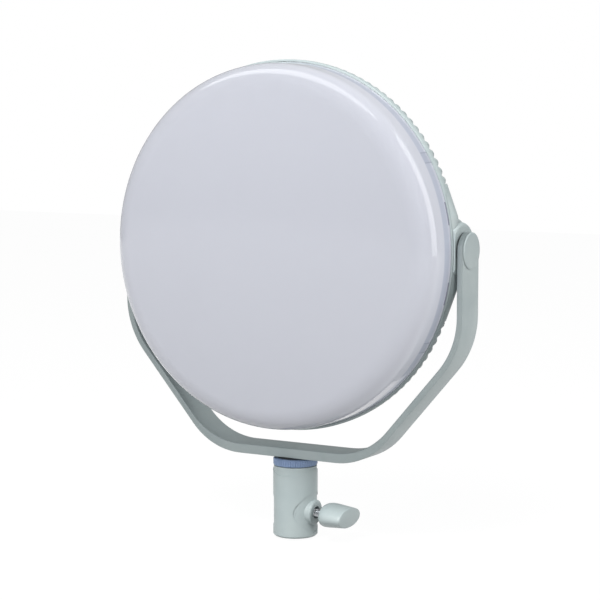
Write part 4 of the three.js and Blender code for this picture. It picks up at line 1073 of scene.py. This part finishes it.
for name, across in (("left", -button_across), ("middle", 0), ("right", button_across)):
    button = turned("button_" + name + "_plug", [
        (0, 18.1), (4.8, 18.1), (4.8, 19.3), (3.8, 19.3), (3.8, 22.9), (3.7, 23.2), (3.4, 23.36),
        (3, 23.4), (0, 23.3),
    ], on_panel(across, button_up), "Y", steps=64)
    smooth(button, 30)
    finish_piece(button, name + "_button", ["button_" + name])
inlet = turned("inlet_socket", [
    (0, 13), (5.6, 13), (5.6, 18.4), (7.2, 18.4), (7.2, 19.3), (5.6, 19.3), (5.6, 21.8), (5.4, 22),
    (3.5, 22), (3.2, 21.7), (3.2, 14.5), (1, 14.5), (1, 20.2), (0.7, 20.5), (0, 20.5),
], on_panel(0, inlet_up), "Y", steps=64)
smooth(inlet, 30)
finish_piece(inlet, "lamp_head", ["power_inlet"])

# %% [markdown]
# The world lights the object evenly and weakly from all round, and the camera sees it as white.

# %% World
world = bpy.data.worlds.new("studio")
bpy.context.scene.world = world
world.use_nodes = True
tree = world.node_tree
background = tree.nodes["Background"]
background.inputs["Color"].default_value = (0.98, 0.99, 1.0, 1)
background.inputs["Strength"].default_value = 0.32
white = tree.nodes.new("ShaderNodeBackground")
white.inputs["Color"].default_value = (1, 1, 1, 1)
white.inputs["Strength"].default_value = 1
mixer = tree.nodes.new("ShaderNodeMixShader")
rays = tree.nodes.new("ShaderNodeLightPath")
tree.links.new(rays.outputs["Is Camera Ray"], mixer.inputs["Fac"])
tree.links.new(background.outputs["Background"], mixer.inputs[1])
tree.links.new(white.outputs["Background"], mixer.inputs[2])
tree.links.new(mixer.outputs["Shader"], tree.nodes["World Output"].inputs["Surface"])

# %% [markdown]
# The opal shell is glossy, so it mirrors the lamps, and their shapes matter: a wide oval one
# overhead draws the crescent along the top of the shoulder, and a tall strip on the right draws the
# long bright line down its side. Opal plastic spreads the light that enters it, so its shading is
# flatter than paint's. It has two small lamps of its own, and the key lamps skip it. The high key
# gives the receiver and the knob their bright tops and skips the yoke, whose front faces stay in
# half shade. The low key and the side key light those faces and the edges between them.

# %% Lamps
def soft_lamp(name, place, target, shape, size, power):
    data = bpy.data.lights.new(name, "AREA")
    data.energy = power
    data.shape = shape
    data.size, data.size_y = size
    lamp = bpy.data.objects.new(name, data)
    bpy.context.scene.collection.objects.link(lamp)
    lamp.location = place
    lamp.rotation_euler = (Vector(target) - Vector(place)).to_track_quat("-Z", "Y").to_euler()
    return lamp


def light_only(lamp, state, *pieces):
    """Keeps a lamp to some pieces, or keeps it off them."""
    group = bpy.data.collections.new(lamp.name + "_group")
    for index, piece in enumerate(pieces):
        group.objects.link(piece)
        group.collection_objects[index].light_linking.link_state = state
    lamp.light_linking.receiver_collection = group


overhead = soft_lamp("overhead", (-0.52, -0.22, 1.42), (-0.52, -0.22, 0), "ELLIPSE",
                     (2.28, 0.55), 9.5)
overhead.visible_diffuse = False
light_only(overhead, "INCLUDE", diffuser)
soft_lamp("right_strip", (1.39, 0.56, 1.1), (0, 0, 1.1), "RECTANGLE", (0.85, 2.0), 16)
low_target = (0, 0, 0.12)
high_key = soft_lamp("high_key", (0.05, -0.9, 1.3), low_target, "RECTANGLE", (0.6, 0.6), 20)
light_only(high_key, "EXCLUDE", diffuser, yoke)
low_key = soft_lamp("low_key", (-0.35, -1.6, 0.6), low_target, "RECTANGLE", (0.6, 0.6), 8.5)
light_only(low_key, "EXCLUDE", diffuser)
side_key = soft_lamp("side_key", (1.45, -0.8, 0.45), (0, 0, 0.15), "RECTANGLE", (0.3, 0.6), 3.2)
light_only(side_key, "EXCLUDE", diffuser)
for name, place in (("face_fill", (-0.05, -0.6, 0.58)), ("side_fill", (0.8, -0.4, 0.5))):
    fill = soft_lamp(name, place, (0, 0, 0.22), "RECTANGLE", (0.3, 0.3), 2.8)
    fill.visible_glossy = False
    light_only(fill, "INCLUDE", diffuser)

# %% [markdown]
# The floor is a large pale plane, a hair under the receiver's foot. The camera sees it mostly
# glowing white, and the rest of its shading keeps the object's soft shadow.

# %% Floor
glow_share = 0.85
clear_selection()
bpy.ops.mesh.primitive_plane_add(size=6, location=(0, 0, -0.0015))
floor = bpy.context.object
floor.name = "floor"
floor_finish = Finish("floor_white", 0.9, specular=0.1)
floor_finish.shader.inputs["Base Color"].default_value = (0.35, 0.35, 0.35, 1)
glow = floor_finish.nodes.new("ShaderNodeEmission")
glow.inputs["Strength"].default_value = 1.13
floor_rays = floor_finish.nodes.new("ShaderNodeLightPath")
floor_mix = floor_finish.nodes.new("ShaderNodeMixShader")
seen = floor_finish.math("MAXIMUM", floor_rays.outputs["Is Camera Ray"],
                         floor_rays.outputs["Is Glossy Ray"])
floor_finish.links.new(floor_finish.math("MULTIPLY", seen, glow_share), floor_mix.inputs["Fac"])
floor_finish.links.new(floor_finish.shader.outputs["BSDF"], floor_mix.inputs[1])
floor_finish.links.new(glow.outputs["Emission"], floor_mix.inputs[2])
floor_output = floor_finish.nodes["Material Output"]
floor_finish.links.new(floor_mix.outputs["Shader"], floor_output.inputs["Surface"])
floor.data.materials.append(floor_finish.material)
print("floor at", floor.location.z)

# %% [markdown]
# The picture keeps colours as written, so the view transform is the plain one.

# %% Finish
bpy.context.scene.view_settings.view_transform = "Standard"
